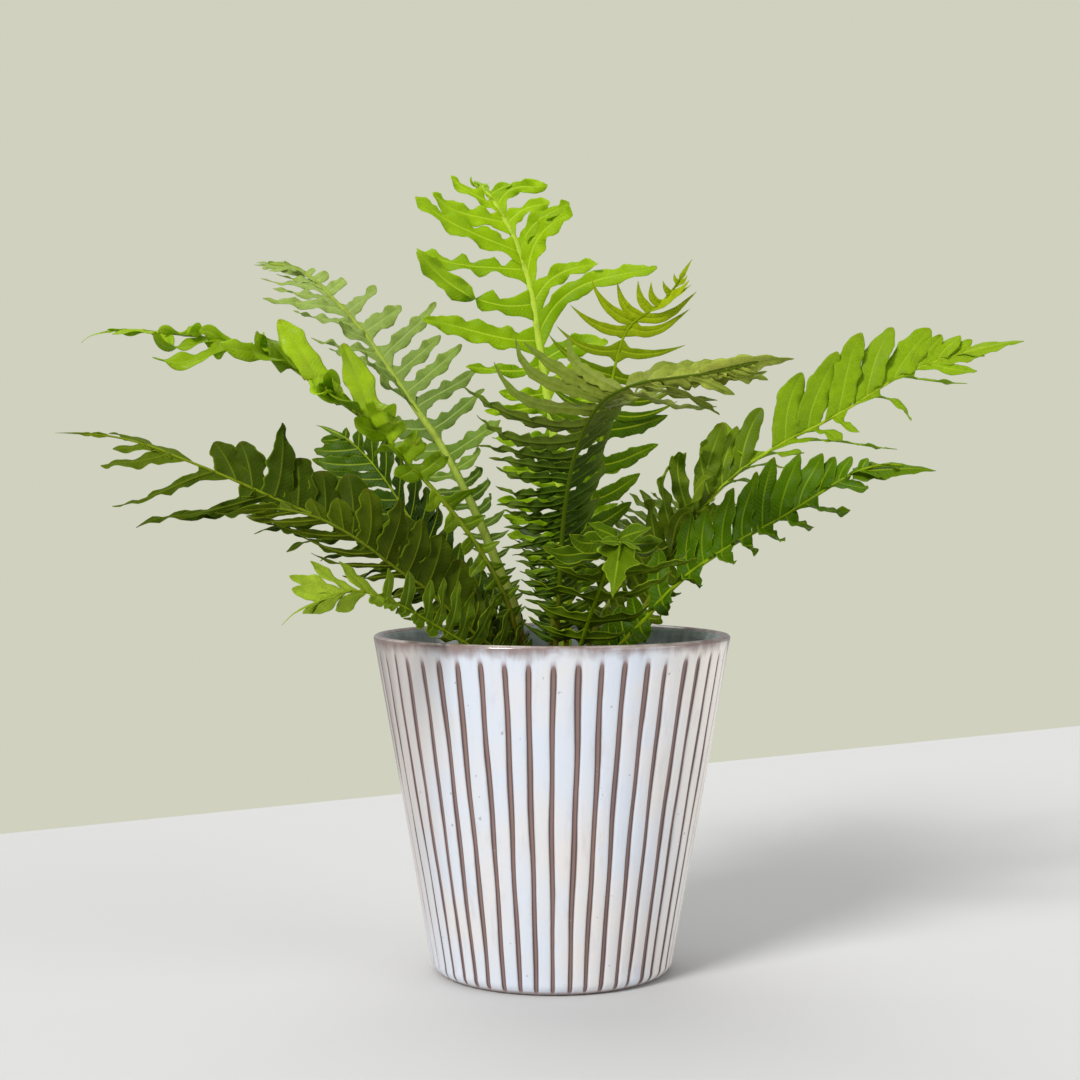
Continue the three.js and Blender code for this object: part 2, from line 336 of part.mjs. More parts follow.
const pot = potSolid();
let soil = soilSolid();
let crown = solid(turned(crownProfile(0), 20));
const stems = FRONDS.map((f) => stemSolid(f));
for (const f of FRONDS) {
  const socket = stemSolid(f, FIT_GAP, 0.2);
  crown = crown.subtract(socket);
  soil = soil.subtract(socket);
}

// The pinnae are added frond by frond. One that would touch another piece is bent away from it, shortened or left out.
const fixed = [pot, soil, crown].map(known);
const placed = FRONDS.map(() => []);
const blades = stems.map((s) => [s]);
FRONDS.forEach((frond, n) => {
  const others = [...fixed];
  stems.forEach((s, i) => i !== n && others.push(known(s)));
  placed.forEach((list, i) => i !== n && others.push(...list));
  for (const pinna of pinnaeOf(frond)) {
    const chord = pinna.tip.clone().sub(pinna.root);
    const normal = new THREE.Vector3().crossVectors(pinna.tangent, chord).normalize();
    search: for (const scale of [1, 0.86, 0.7, 0.52])
      for (const swing of [0, 0.12, -0.12, 0.25, -0.25]) {
        const tip = pinna.root.clone().addScaledVector(chord, scale).addScaledVector(normal, swing * chord.length() * scale);
        const tried = { ...pinna, tip, width: pinna.width * (0.6 + 0.4 * scale) };
        if (tip.distanceTo(pinna.root) < SMALLEST_PINNA) continue;
        if (meets(pinnaSolid(tried, CLEARANCE), others)) continue;
        const made = pinnaSolid(tried);
        placed[n].push(known(made));
        blades[n].push(made);
        break search;
      }
  }
});

const group = new THREE.Group();
group.name = "fern_in_a_pot";
function addPiece(name, manifold, material) {
  const mesh = new THREE.Mesh(geometryOf(manifold), MATERIALS[material]);
  mesh.name = name;
  group.add(mesh);
}
addPiece("cache_pot", pot, "glaze");
addPiece("potting_soil", soil, "soil");
addPiece("crown", crown, "crown");
FRONDS.forEach((frond, n) => addPiece(frond.name, wasm.Manifold.union(blades[n]).asOriginal().simplify(SIMPLIFY), FROND_MATERIAL[frond.name] || "green"));

export default group;
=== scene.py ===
"""A potted fern: the looks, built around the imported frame. Metres, +Z up, -Y to the front."""

import math

import bpy
import numpy as np
from mathutils import Euler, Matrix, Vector


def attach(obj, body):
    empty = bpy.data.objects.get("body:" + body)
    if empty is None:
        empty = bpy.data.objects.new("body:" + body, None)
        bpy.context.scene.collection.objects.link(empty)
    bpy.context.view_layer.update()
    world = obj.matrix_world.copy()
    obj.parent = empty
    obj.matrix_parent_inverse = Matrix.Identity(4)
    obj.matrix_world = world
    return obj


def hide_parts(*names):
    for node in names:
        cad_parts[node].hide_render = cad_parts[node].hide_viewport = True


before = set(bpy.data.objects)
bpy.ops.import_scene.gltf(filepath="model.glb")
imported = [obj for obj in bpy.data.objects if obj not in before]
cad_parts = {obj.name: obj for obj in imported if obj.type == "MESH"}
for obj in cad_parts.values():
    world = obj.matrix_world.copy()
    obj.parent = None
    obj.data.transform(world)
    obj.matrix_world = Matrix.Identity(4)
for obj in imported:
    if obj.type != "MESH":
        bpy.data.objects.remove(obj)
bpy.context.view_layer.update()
MM = 0.001

# ---- sizes shared with the frame, in mm ----
POT_HEIGHT = 141.3
RIM_RADIUS = 75.0
BASE_RADIUS = 51.2
FOOT_RADIUS = 45.0
FOOT_ROUND = 6.0
WALL = 4.8
RIBS = 48
SOIL_TOP = 117.0
CROWN_RADIUS = 20.0
CROWN_TOP = 127.0

# path: the rachis from its foot to its tip. left/right: [place along the rachis 0..1, dx, dy, dz from the
# rachis to the pinna's tip]. up: the side the upper face looks to. r: stem radius at foot and tip. gap: pitch.
FRONDS = [
    dict(
        name="frond_back_tall", up=(0, -1, 0.2), r=(2.1, 0.75), gap=13, tip=9,
        path=[
            (5, 9, 117), (6.1, 15, 149.3), (4.5, 20, 169.8), (3.7, 28, 197.4), (0.3, 38, 230.4), (-2.5, 43, 246.1), (-3.9, 46, 257.5),
            (-5.7, 50, 269), (-7.2, 53, 280.6), (-9.1, 56, 291.2), (-11.9, 60, 302), (-15.3, 64, 313.1), (-20.1, 68, 323.1), (-25, 73, 332),
            (-29.9, 79, 339.3), (-33.3, 86, 343.7),
        ],
        left=[
            (0.132, -9.8, -3, 2.8), (0.333, -29.5, -5, -0), (0.502, -41.4, -6, -1.3), (0.596, -44.5, -6, -10.9), (0.656, -51.7, -6, 7.4),
            (0.714, -53.1, -8, 17.4), (0.775, -48.5, -6, 9), (0.839, -46.2, -8, 16), (0.875, -35.5, -6, 9.6), (0.921, -21.8, -6, 11),
            (0.964, -9.1, -3, 4.6),
        ],
        right=[
            (0.132, 9.4, -3, 3.6), (0.333, 28, -5, 5.1), (0.504, 39.7, -6, 7.1), (0.596, 46.8, -6, 8.4), (0.656, 54.9, -8, 24.8),
            (0.74, 34.8, -8, 8.2), (0.807, 26.8, -8, 15.7), (0.864, 23.8, -6, 9.4), (0.921, 24.5, -6, 7.6), (0.964, 12, -3, 3.2),
        ],
        own=[
            (0.368, 1, -12.4, -5, -0.6, 5, dict()),
            (0.394, 1, -24.9, -5, -1.5, 5.4, dict(late=1)),
            (0.427, 1, -15.4, -5, -1.4, 5, dict()),
            (0.427, -1, 19.5, -5, 3.9, 5.5, dict(bow=-0.1)),
            (0.451, 1, -27.8, -5, -1.7, 5.6, dict(late=1)),
            (0.482, 1, -16.8, -5, -0.3, 5.2, dict()),
            (0.491, -1, 22.9, -6, 5.5, 6, dict(bow=-0.2)),
            (0.509, 1, -28.4, -5, -2.8, 5.8, dict(late=1)),
            (0.535, 1, -21.2, -5, -0.6, 5.4, dict()),
            (0.544, -1, 24, -6, 6.6, 7, dict(bow=-0.2)),
            (0.588, 1, -34.2, -5, -2.7, 5.4, dict()),
            (0.593, -1, 29.9, -6, 7.5, 9.5, dict(bow=-0.2)),
            (0.636, 1, -51.8, -6, 7.2, 10, dict(bow=0.05)),
            (0.643, -1, 54.8, -8, 27.2, 8.4, dict(bow=-0.34, tip0=0.7, wave=1.6)),
            (0.705, -1, 30.9, -6, 15.4, 8.2, dict(bow=-0.42)),
            (0.706, 1, -53.8, -8, 19.4, 9.5, dict(bow=0.22, turn=2.8, turn_from=0.36, turn_to=0.56, tip0=0.75, cup=0.3)),
            (0.757, -1, 25.1, -8, 27.7, 10, dict(bow=-0.36, tip0=0.72, tp=2.6, coil=1.0, coil_from=0.75)),
            (0.775, 1, -48.8, -6, 7.9, 8.6, dict(bow=0.14, wave=2.8)),
            (0.811, -1, 24.7, -6, 19.7, 8.2, dict(bow=-0.38, tip0=0.66)),
            (0.813, 1, -48.2, -8, 21.7, 10.4, dict(bow=0.12)),
            (0.874, -1, 20.4, -5, 8, 7, dict(bow=-0.35)),
            (0.879, 1, -35.2, -6, 9, 8.6, dict(bow=0.15)),
            (0.919, -1, 24.7, -5, 6.8, 6.3, dict(bow=-0.4, tip0=0.7)),
            (0.92, 1, -22, -5, 11.3, 5.6, dict(bow=0.15)),
            (0.95, -1, 10.6, -3, 4.1, 4.5, dict(bow=-0.3)),
            (0.964, 1, -10, -3, 4.6, 4, dict(coil=1.4)),
        ],
    ),
    dict(
        name="frond_front_arching", up=(0.1, 0.6, 0.8), r=(1.9, 0.7), gap=8.2, tip=14,
        path=[
            (-1, -10, 117), (1.6, -18, 139.6), (2.8, -22, 160.4), (3.9, -30, 182.6), (5.4, -38, 197.2), (7.6, -47, 210.4), (10.8, -56, 221.3),
            (14.5, -65, 228.9), (18.9, -75, 234.7), (25.3, -86, 238.2), (33.7, -97, 240.5), (47.5, -108, 241.8), (60.4, -115, 243.3),
            (72.8, -120, 246.2),
        ],
        left=[
            (0.112, -10.8, 4, 4.7), (0.322, -19.5, 6, -5), (0.399, -24.2, 10, -2), (0.445, -29, 14, 0.8), (0.501, -36.3, 20, 1.9),
            (0.542, -44.1, 26, 5), (0.581, -51.4, 32, 7.7), (0.626, -51.1, 36, 12.1), (0.665, -48.7, 40, 19.6), (0.719, -30.3, 30, 19.4),
            (0.785, -15.9, 22, 12.9), (0.865, -5, 10, 9.8), (0.936, 1.5, 4, 5),
        ],
        right=[
            (0.112, 9.9, 4, 3.9), (0.322, 15.5, 6, 9.7), (0.399, 20.4, 10, 13), (0.473, 23.6, 12, 15.2), (0.542, 27.2, 14, 15.6),
            (0.581, 30, 16, 11.3), (0.626, 31.2, 16, 4.5), (0.676, 35.8, 10, -2), (0.719, 36.2, 2, -11.1), (0.785, 21.8, -4, -6.1),
            (0.865, 13.4, -6, -8.1), (0.936, 8.9, -4, -2.8),
        ],
        own=[
            (0.745, 1, 23.3, 10, 13.6, 9.5, dict(bow=0.2, lean=0.6)),
            (0.765, -1, 30.5, 4, -13.1, 13.5, dict(bow=-0.3, tip0=0.4, curl=0.4, tilt=0.1, wave=0.5, lean=0.5)),
            (0.797, 1, 27.9, 8, 11.3, 10.5, dict(bow=0.2, lean=0.8)),
            (0.826, -1, 31.8, -4, -1, 9, dict(bow=0.12, lean=0.7)),
            (0.847, 1, 30.5, 6, 9.9, 9.5, dict(bow=0.15, lean=0.9)),
            (0.878, -1, 14.9, -3, -9.3, 4.5, dict(bow=-0.15)),
            (0.889, 1, 26.7, 5, 5.8, 8.5, dict(bow=0.12, lean=0.9)),
            (0.904, -1, 20.7, -2, 0.2, 7.5, dict(bow=0.05, lean=0.8)),
            (0.926, 1, 18.4, 4, 2.1, 6.5, dict(bow=0.1, lean=0.9)),
        ],
    ),
    dict(
        name="frond_young", up=(-0.3, -0.9, 0.2), r=(1.6, 0.55), gap=7, tip=7,
        path=[
            (5, 0, 119), (7.2, 3, 150.9), (10.6, 4, 171.9), (16.2, 6, 197.3), (21.7, 8, 227), (25.6, 10, 248.3), (30.1, 11, 265.6),
            (33.7, 11, 271.9), (38.1, 10, 275.3), (46, 8, 280.5), (52, 5, 287.3), (55.5, 1, 293),
        ],
        left=[
            (0.17, -8.8, 3, 4), (0.42, -21.2, 6, 4.3), (0.579, -24.6, 6, 9.6), (0.704, -26.3, 4, 16.4), (0.764, -26, 2, 11.2),
            (0.81, -25.8, 0, 13.1), (0.836, -17, -2, 16.7), (0.858, -10.3, -3, 15), (0.883, -6.3, -4, 12.7), (0.908, -4.6, -4, 9.1),
            (0.94, -3.3, -4, 5.5), (0.971, -1.9, -2, 3.7),
        ],
        right=[
            (0.17, 9.8, 3, 4), (0.42, 22.4, 8, 12.9), (0.579, 30.7, 8, 6.3), (0.704, 25.5, 6, 2.4), (0.764, 27.9, 4, 1.6), (0.82, 27.2, 0, 8.5),
            (0.857, 22.4, -4, 10.3), (0.894, 15.5, -6, 8.4), (0.933, 8.5, -5, 5.7), (0.971, 3.5, -3, 2.7),
        ],
    ),
    dict(
        name="frond_right_upper", up=(-0.2, -0.75, 0.65), r=(1.9, 0.6), gap=13, tip=16,
        path=[
            (12, 6, 116), (28.2, 10, 137.7), (40.4, 14, 152.8), (48.3, 18, 168.1), (55.5, 22, 179.7), (64.9, 26, 193), (80.9, 30, 208.9),
            (101.4, 34, 222.4), (117.4, 37, 230.4), (133.7, 40, 239.5), (152, 43, 250.9), (168.8, 45, 258.2), (183.6, 46, 263.1), (194.7, 46, 265.8),
        ],
        left=[
            (0.11, -5, 4, 14.3), (0.262, -9.9, 8, 21.5), (0.354, -14.7, 10, 31.8), (0.436, -10.4, 10, 26.3), (0.497, -9, 10, 19.9),
            (0.563, -4.4, 8, 19), (0.608, 3, 8, 28.4), (0.656, 8.9, 8, 32.7), (0.715, 7.3, 8, 33.4), (0.775, 9.5, 8, 28.5), (0.838, 12.3, 7, 21),
            (0.899, 4.5, 5, 12.1), (0.947, 1.1, 3, 8.3), (1, -0.7, 1, 3.6),
        ],
        right=[
            (0.11, 12.3, -8, -0.3), (0.262, 14, -18, -8.7), (0.387, 19.4, -24, -5), (0.451, 15.5, -26, -3.7), (0.53, 23.3, -26, -5.3),
            (0.609, 36.1, -20, -8.8), (0.656, 24.7, -18, -10.3), (0.715, 25.9, -16, -8.9), (0.784, 28.9, -14, -5.1), (0.843, 26.1, -10, -6.5),
            (0.899, 16.3, -6, -4.7), (0.954, 8.2, -3, -2.4), (1, 3.3, -1, -1),
        ],
        own=[
            (0.262, 1, -6.6, 6, 29.3, 8, dict(turn=-0.9, wave=2.0, tip0=0.8, rnd=0.00)),
            (0.283, 1, 4.9, -4, 24.8, 7, dict(turn=-1.2, wave=2.0, coil=0.8, rnd=0.00)),
            (0.309, 1, -7.2, 4, 36.2, 8, dict(turn=1.0, coil=1.0, wave=2.0, tip0=0.8, rnd=0.25)),
            (0.319, -1, 12.3, -16, -1.5, 7, dict(lean=-0.6, twist=0.9, rnd=0.25)),
            (0.334, 1, 6.5, -2, 27.7, 7.5, dict(turn=1.4, wave=2.0, tip0=0.8, coil=0.8, rnd=0.12)),
            (0.352, -1, 13.6, -12, 7.6, 7, dict(turn=1.2, wave=1.8, coil=1.0, rnd=0.25)),
            (0.357, 1, -6.3, 6, 38, 7.5, dict(coil=1.8, coil_from=0.4, wave=2.0, rnd=0.12)),
            (0.383, -1, 15.1, -14, 2.9, 7.5, dict(lean=-0.7, twist=0.6, rnd=0.12)),
            (0.393, 1, 8.8, 8, 36.5, 9.5, dict(tip0=0.85, tp=3.0, tilt=0.4, wave=1.8, rnd=0.00)),
            (0.413, 1, -4.5, 2, 29.1, 7, dict(turn=1.2, coil=1.2, wave=1.8, tip0=0.7, rnd=0.00)),
            (0.444, 1, 7.1, 8, 25.9, 6.5, dict(tip0=0.7, twist=0.8, rnd=0.25)),
            (0.446, -1, 13, -14, 0.2, 7.5, dict(lean=-0.6, bow=-0.2, rnd=0.00)),
            (0.482, -1, 19.2, -16, 0.9, 7.5, dict(lean=-0.7, bow=-0.2, rnd=0.25)),
            (0.484, 1, 10.8, 8, 27.4, 9, dict(tip0=0.75, tp=2.6, rnd=0.12)),
            (0.52, 1, -13.5, 10, 16.7, 7.5, dict(tip0=0.7, turn=0.6, rnd=1.00)),
            (0.525, -1, 19, -16, -0.5, 8, dict(lean=-0.7, bow=-0.2, rnd=0.85)),
            (0.572, -1, 48.1, -22, -4.8, 7, dict(lean=-0.7, sway=0.05, curl=0.2, tip0=0.3, bow=-0.1, rnd=1.00)),
            (0.585, 1, 8.1, 8, 30, 12.2, dict(tip0=0.62, rnd=1.00)),
            (0.627, -1, 11.1, -18, -7.6, 7.5, dict(lean=-0.6, bow=-0.3, rnd=0.85)),
            (0.631, 1, 13.4, 8, 34.5, 12.2, dict(tip0=0.62, rnd=0.85)),
            (0.69, -1, 8.1, -16, -9.2, 6, dict(lean=-0.6, curl=0.6, tip0=0.5, rnd=1.00)),
            (0.694, 1, 10.8, 8, 35.4, 11.8, dict(tip0=0.62, rnd=1.00)),
            (0.755, 1, 13, 8, 30.7, 11.6, dict(tip0=0.64, rnd=0.85)),
            (0.757, -1, 16.5, -16, -13.4, 6, dict(lean=-0.6, sway=0.06, bow=-0.5, tip0=0.4, rnd=0.85)),
            (0.812, 1, 18, 8, 23.1, 12.5, dict(tip0=0.6, bow=0.05, rnd=1.00)),
            (0.832, -1, 25.9, -14, -5.4, 6, dict(lean=-0.7, sway=0.04, curl=0.2, tip0=0.35, rnd=1.00)),
            (0.864, 1, 11.1, 5, 14.7, 8, dict(tip0=0.6, rnd=0.85)),
            (0.886, -1, 19.8, -6, -3.8, 6.5, dict(tip0=0.5, lean=-0.2, curl=0.2, rnd=0.85)),
            (0.901, 1, 11, 4, 11.4, 7.5, dict(tip0=0.6, rnd=1.00)),
            (0.93, 1, 9.5, 3, 6.9, 5, dict(tip0=0.6, rnd=0.85)),
        ],
    ),
    dict(
        name="frond_right_lower", up=(-0.1, -0.8, 0.6), r=(1.8, 0.6), gap=9.8, tip=14,
        path=[
            (14, -5, 114), (25, -8, 132.7), (36.4, -12, 145.5), (45.3, -16, 156.4), (56.5, -20, 167.3), (75.1, -26, 180.1), (93.2, -31, 190.4),
            (109, -35, 200.8), (121.1, -38, 208.2), (130.7, -40, 211.1), (139.3, -41, 211.1),
        ],
        left=[
            (0.131, -0.8, 2, 14.5), (0.235, -3.1, 4, 14.3), (0.323, -0.6, 4, 22.2), (0.419, 1.1, 4, 23.4), (0.462, 1.9, 4, 23.2),
            (0.516, 5.5, 4, 25.3), (0.574, 6.2, 4, 26.6), (0.629, 7.1, 4, 29.3), (0.676, 9.9, 4, 26.7), (0.73, 11.1, 4, 20.8), (0.784, 8.5, 3, 15.6),
            (0.842, 6.3, 2, 10), (0.905, 2.5, 1, 4.7), (0.972, 0.8, 0, 1.4),
        ],
        right=[
            (0.131, 6.2, -10, -3.3), (0.235, 3.3, -16, -5.1), (0.323, 2.7, -20, -4.6), (0.419, 2.3, -22, -5.2), (0.516, 3.9, -24, -5.8),
            (0.629, 6.5, -24, -5.6), (0.692, 10.9, -22, -6.7), (0.748, 17.6, -18, -4.3), (0.842, 12.3, -12, -3.8), (0.905, 8.5, -6, -3.4),
            (0.972, 3.6, -2, -1.4),
        ],
    ),
    dict(
        name="frond_front_drooping", up=(0, 0.5, 0.85), r=(1.5, 0.6), gap=8.5, tip=17,
        path=[
            (6, -13, 115), (9.8, -18, 132.2), (11.8, -22, 138.3), (14.4, -30, 147.6), (17.4, -40, 157.4), (19.7, -50, 165.8), (21.6, -61, 173.4),
            (23.1, -72, 179.5), (24.4, -83, 182.7), (24.7, -93, 180.3), (23.8, -98, 174.8),
        ],
        left=[
            (0.151, -8.2, 0, 3.3), (0.244, -17.2, 2, 2.8), (0.327, -23, 3, 5.6), (0.436, -27.9, 4, 7.4), (0.54, -29, 4, 7), (0.648, -25, 2, 3.8),
            (0.747, -20.4, -4, 0.9), (0.816, -15.1, -8, 0.1), (0.918, -11.4, -10, -2.4), (1, -4.6, -3, -2.1),
        ],
        right=[
            (0.151, 8.2, 0, 2.5), (0.244, 18.3, 0, 0.5), (0.327, 26.9, 2, 3.2), (0.436, 32.9, 4, 7), (0.542, 37.7, 2, 6.4), (0.648, 31.6, -2, 6.2),
            (0.747, 20.5, -8, -1.7), (0.816, 14.4, -10, 0.5), (0.918, 7, -10, -3.1), (1, 3.9, -3, -2.4),
        ],
        own=[
            (0.609, 1, -27.5, 2, 1.9, 7, dict(tip0=0.4, lean=-0.4)),
            (0.609, -1, 36, 2, 1.2, 8, dict(tip0=0.45, lean=0.4)),
            (0.688, 1, -24.1, -4, 2.3, 7.5, dict(tip0=0.4, lean=-0.6)),
            (0.706, -1, 21.6, -6, -1.1, 9, dict(tip0=0.5, lean=0.8)),
            (0.742, 1, -26.6, -8, -4.1, 9, dict(tip0=0.5, lean=-0.9)),
            (0.772, -1, 17.7, -9, -0.1, 9.5, dict(tip0=0.5, lean=0.9)),
            (0.787, 1, -17.3, -10, -0.7, 9, dict(tip0=0.55, lean=-0.9)),
            (0.879, 1, -12.5, -4, 4.4, 8, dict(tip0=0.4, lean=-0.7)),
            (0.879, -1, 12.2, -4, 3.7, 8, dict(tip0=0.4, lean=0.7)),
        ],
    ),
    dict(
        name="frond_left_long", up=(0.2, -0.5, 0.85), r=(1.9, 0.55), gap=8.8, tip=10,
        path=[
            (-9, -8, 117), (-13.7, -10, 134.9), (-17, -14, 150.5), (-23.6, -19, 166), (-32.8, -24, 181.7), (-46.5, -30, 199.6), (-60.1, -34, 214.2),
            (-71.2, -36, 226.1), (-83.1, -37, 235.2), (-97.3, -37, 245.2), (-111.4, -35, 254.6), (-124.5, -33, 260), (-138.3, -30, 262.6),
            (-152.6, -27, 264.5), (-165.8, -24, 266), (-177.2, -22, 266.6), (-185.1, -20, 265.5),
        ],
        left=[
            (0.072, -9.5, -6, 4.6), (0.204, -9.8, -10, -9.3), (0.277, -11.2, -12, -12.6), (0.322, -12.5, -12, -11.2), (0.368, -10.3, -12, -12),
            (0.42, -9.9, -12, -11.3), (0.465, -10.7, -12, -8.6), (0.539, -10.1, -12, -5.2), (0.597, -8, -14, -4.6), (0.654, -9.3, -14, -5.2),
            (0.72, -12.8, -12, -8.5), (0.78, -24.7, -8, -13.1), (0.822, -21, -6, -8.4), (0.87, -18.9, -3, -1.1), (0.923, -11.4, -2, -1.4),
            (0.968, -4.7, -1, -1.3),
        ],
        right=[
            (0.072, 5.3, 6, 8.8), (0.166, 5.4, 8, 5.2), (0.224, 10.1, 8, 0.8), (0.258, 9.5, 10, 2.9), (0.304, 12.2, 10, 5.6), (0.345, 12.4, 12, 9.4),
            (0.398, 13, 12, 9.2), (0.443, 16.8, 12, 12.3), (0.487, 16.3, 12, 14.1), (0.528, -6.5, 8, 22.5), (0.568, -7.9, 6, 21.7),
            (0.612, -12.1, 4, 22.6), (0.654, -13.1, 2, 15.1), (0.702, -16, 0, 10.8), (0.758, -14.9, 0, 7.2), (0.822, -13.3, 0, 3.8),
            (0.87, -12.2, 0, 2.8), (0.923, -9.4, 0, 1.6), (0.968, -4.9, 0, 0.4),
        ],
        own=[
            (0.412, -1, 12.9, -4, 11.8, 7.5, dict(coil=1.0, rnd=0.2, turn=0.6)),
            (0.422, 1, -8.2, -9, -4.5, 9, dict(turn=0.5, rnd=0.1)),
            (0.45, -1, 11.9, -8, 12.6, 8.5, dict(coil=1.3, rnd=0.6, turn=-0.5)),
            (0.463, 1, -8.8, -9, -1.1, 10, dict(turn=0.6, rnd=0.1)),
            (0.49, -1, 7.7, -8, 12.8, 10, dict(coil=1.2, rnd=0.9, turn=0.5)),
            (0.504, 1, -10.2, -10, 2.2, 11, dict(turn=0.7, rnd=0.0)),
            (0.512, -1, -14.7, 6, 33, 12.5, dict(tip0=0.6, curl=0.3, bow=0.08, rnd=1.0, wave=1.6, cup=0.25, twist=0.1, tilt=0)),
            (0.529, -1, 12.3, -12, 10.9, 12, dict(coil=1.4, cup=0.4, rnd=0.85)),
            (0.555, 1, -10.9, -10, 7.4, 12, dict(tip0=0.5, turn=0.4, rnd=0.1)),
            (0.568, -1, -3, -6, 13.6, 9, dict(coil=1.4, coil_from=0.3, rnd=0.8)),
            (0.59, 1, -12, -12, 4.4, 9, dict(coil=1.0, rnd=0.9, turn=0.6)),
            (0.598, -1, -0.8, -4, 11.6, 9, dict(coil=1.6, coil_from=0.3, rnd=0.35)),
            (0.614, -1, -17.4, 4, 27.2, 11, dict(tip0=0.66, bow=0.04, curl=0.3, rnd=0.85, wave=1.6, twist=0.1, tilt=0)),
            (0.619, 1, 2.9, -13, -6.2, 10, dict(coil=0.9, cup=0.5, rnd=1.0)),
            (0.656, -1, -18.5, 3, 16.1, 13, dict(turn=0.9, cup=0.4, coil=1.4, coil_from=0.55, rnd=0.1)),
            (0.668, 1, -21.6, -8, 8.3, 10, dict(tip0=0.5, bow=-0.1, rnd=0.15, wave=2.0)),
            (0.706, -1, -9.7, 4, 8.2, 9, dict(coil=1.8, coil_from=0.3, rnd=0.9)),
            (0.725, 1, -18, -8, 0.1, 8, dict(tip0=0.5, rnd=0.3, lean=-0.4)),
            (0.787, 1, -27.8, -9, -13, 8, dict(tip0=0.5, bow=0.2, rnd=0.3, wave=2.0, scallop=0.14)),
            (0.794, -1, -8.4, -2, 5.3, 6, dict(coil=0.8, rnd=0.2)),
            (0.809, -1, 4.3, -8, -6.9, 8, dict(coil=1.4, cup=0.5, rnd=1.0)),
            (0.813, 1, -25.7, -6, -7.7, 6.5, dict(tip0=0.45, turn=0.3, rnd=0.25, wave=1.6)),
            (0.846, -1, 0.6, -6, 7.7, 9.5, dict(coil=2.6, coil_from=0.2, cup=0.5, rnd=0.8)),
            (0.87, -1, -6.7, -3, 2.6, 5, dict(coil=0.8, rnd=0.3)),
            (0.897, -1, 4.9, -7, -6.5, 6, dict(coil=1.2, rnd=0.9)),
            (0.912, 1, -16.2, -0, -1, 3.4, dict(rnd=0.5, bow=0, tip0=0.3, curl=0, twist=0, tilt=0)),
            (0.918, -1, -14.7, 0, 0.1, 3, dict(rnd=0.6, bow=0, tip0=0.3, curl=0, twist=0, tilt=0)),
        ],
    ),
    dict(
        name="frond_back_left", up=(0.35, -0.9, 0.2), r=(2.3, 0.6), gap=10, tip=9,
        path=[
            (-7, 6, 118), (-13.5, 8, 137.8), (-17, 14, 154.1), (-23.1, 21, 168.9), (-31.2, 30, 187.8), (-41.9, 40, 209.3), (-50, 48, 223.3),
            (-62.4, 58, 240.7), (-75.2, 69, 259), (-87.8, 80, 276.4), (-100.7, 90, 290.4), (-109.8, 96, 299.5), (-117.3, 100, 305.1),
            (-126.2, 103, 308.6), (-133, 104, 309.4),
        ],
        left=[
            (0.081, -8.6, 2, 4.1), (0.218, -8.8, 4, 2.5), (0.305, -15.2, 8, -1), (0.405, -22.1, 10, -2), (0.508, -27.7, 12, 1.8),
            (0.593, -30.7, 12, 8.1), (0.658, -36.7, 12, 10.6), (0.724, -33.5, 12, 8.5), (0.784, -43.6, 12, 8.4), (0.836, -38.2, 12, 8.5),
            (0.892, -24.5, 8, 3.2), (0.938, -18.8, 5, -0.2), (0.973, -12.7, 3, -0.8),
        ],
        right=[
            (0.081, 5.1, 0, 3.4), (0.2, 7.8, -2, 3.9), (0.269, 12.4, -4, 5.2), (0.324, 14.3, -6, 10.5), (0.381, 17.7, -8, 12.3),
            (0.444, 23.6, -8, 12.8), (0.508, 27.2, -8, 17.3), (0.567, 26.2, -8, 22.7), (0.632, 24.6, -8, 22.6), (0.691, 21.8, -8, 19.7),
            (0.756, 18.7, -7, 15.8), (0.814, 14.9, -6, 11.6), (0.87, 10.2, -5, 7.8), (0.924, 6.8, -3, 3.7), (0.961, 4.6, -2, 2.1),
        ],
        own=[
            (0.504, -1, 24.5, 4, 17.1, 7.4, dict(tip0=0.45, wave=1.4)),
            (0.557, -1, 29, 4, 17.3, 7.6, dict(tip0=0.45, wave=1.5)),
            (0.571, 1, -16.1, -8, 9.4, 6, dict(turn=0.8, coil=0.6, rnd=0.0)),
            (0.593, -1, 26, 4, 21.2, 8, dict(tip0=0.45, wave=1.5)),
            (0.612, 1, -19.1, -8, 11.8, 6, dict(turn=0.8, coil=0.6, rnd=0.0)),
            (0.636, -1, 21.5, 4, 18.3, 8.2, dict(tip0=0.5, wave=1.4)),
            (0.651, 1, -27.5, -8, 7.5, 5.4, dict(turn=0.7, tip0=0.2, wave=2.0, rnd=0.1)),
            (0.679, -1, 26.1, 3, 24.3, 7.8, dict(tip0=0.5, wave=1.5)),
            (0.691, 1, -30.8, -8, 4.8, 5.4, dict(turn=0.7, tip0=0.2, wave=2.0, rnd=0.1)),
            (0.727, 1, -15.6, -5, 5.6, 7, dict(tip0=0.4, coil=0.8, rnd=0.1)),
            (0.747, -1, 17.7, 3, 11.6, 9.5, dict(tip0=0.55, tp=1.8, wave=1.2)),
            (0.769, 1, -29.2, -6, 4.7, 6.4, dict(tip0=0.15, wave=1.6, turn=0.6)),
            (0.804, -1, 14.1, 2, 12.2, 8.5, dict(tip0=0.8, tp=2.4)),
            (0.818, 1, -36.3, -6, 1.7, 7.4, dict(tip0=0.12, tp=1.1, wave=1.6, scallop=0.14)),
            (0.847, 1, -27.7, -4, 3.1, 5, dict(tip0=0.15, wave=1.4, turn=0.4)),
            (0.866, -1, 8.4, 2, 6, 7, dict(tip0=0.85, tp=2.6)),
            (0.881, 1, -28.4, -4, 1.1, 4.6, dict(tip0=0.05, tp=1.0, wave=1.0, turn=0.4)),
            (0.9, -1, 6, 1, 4.1, 5.5, dict(tip0=0.8)),
            (0.901, 1, -17.8, -3, 2, 4.6, dict(tip0=0.2, turn=0.4)),
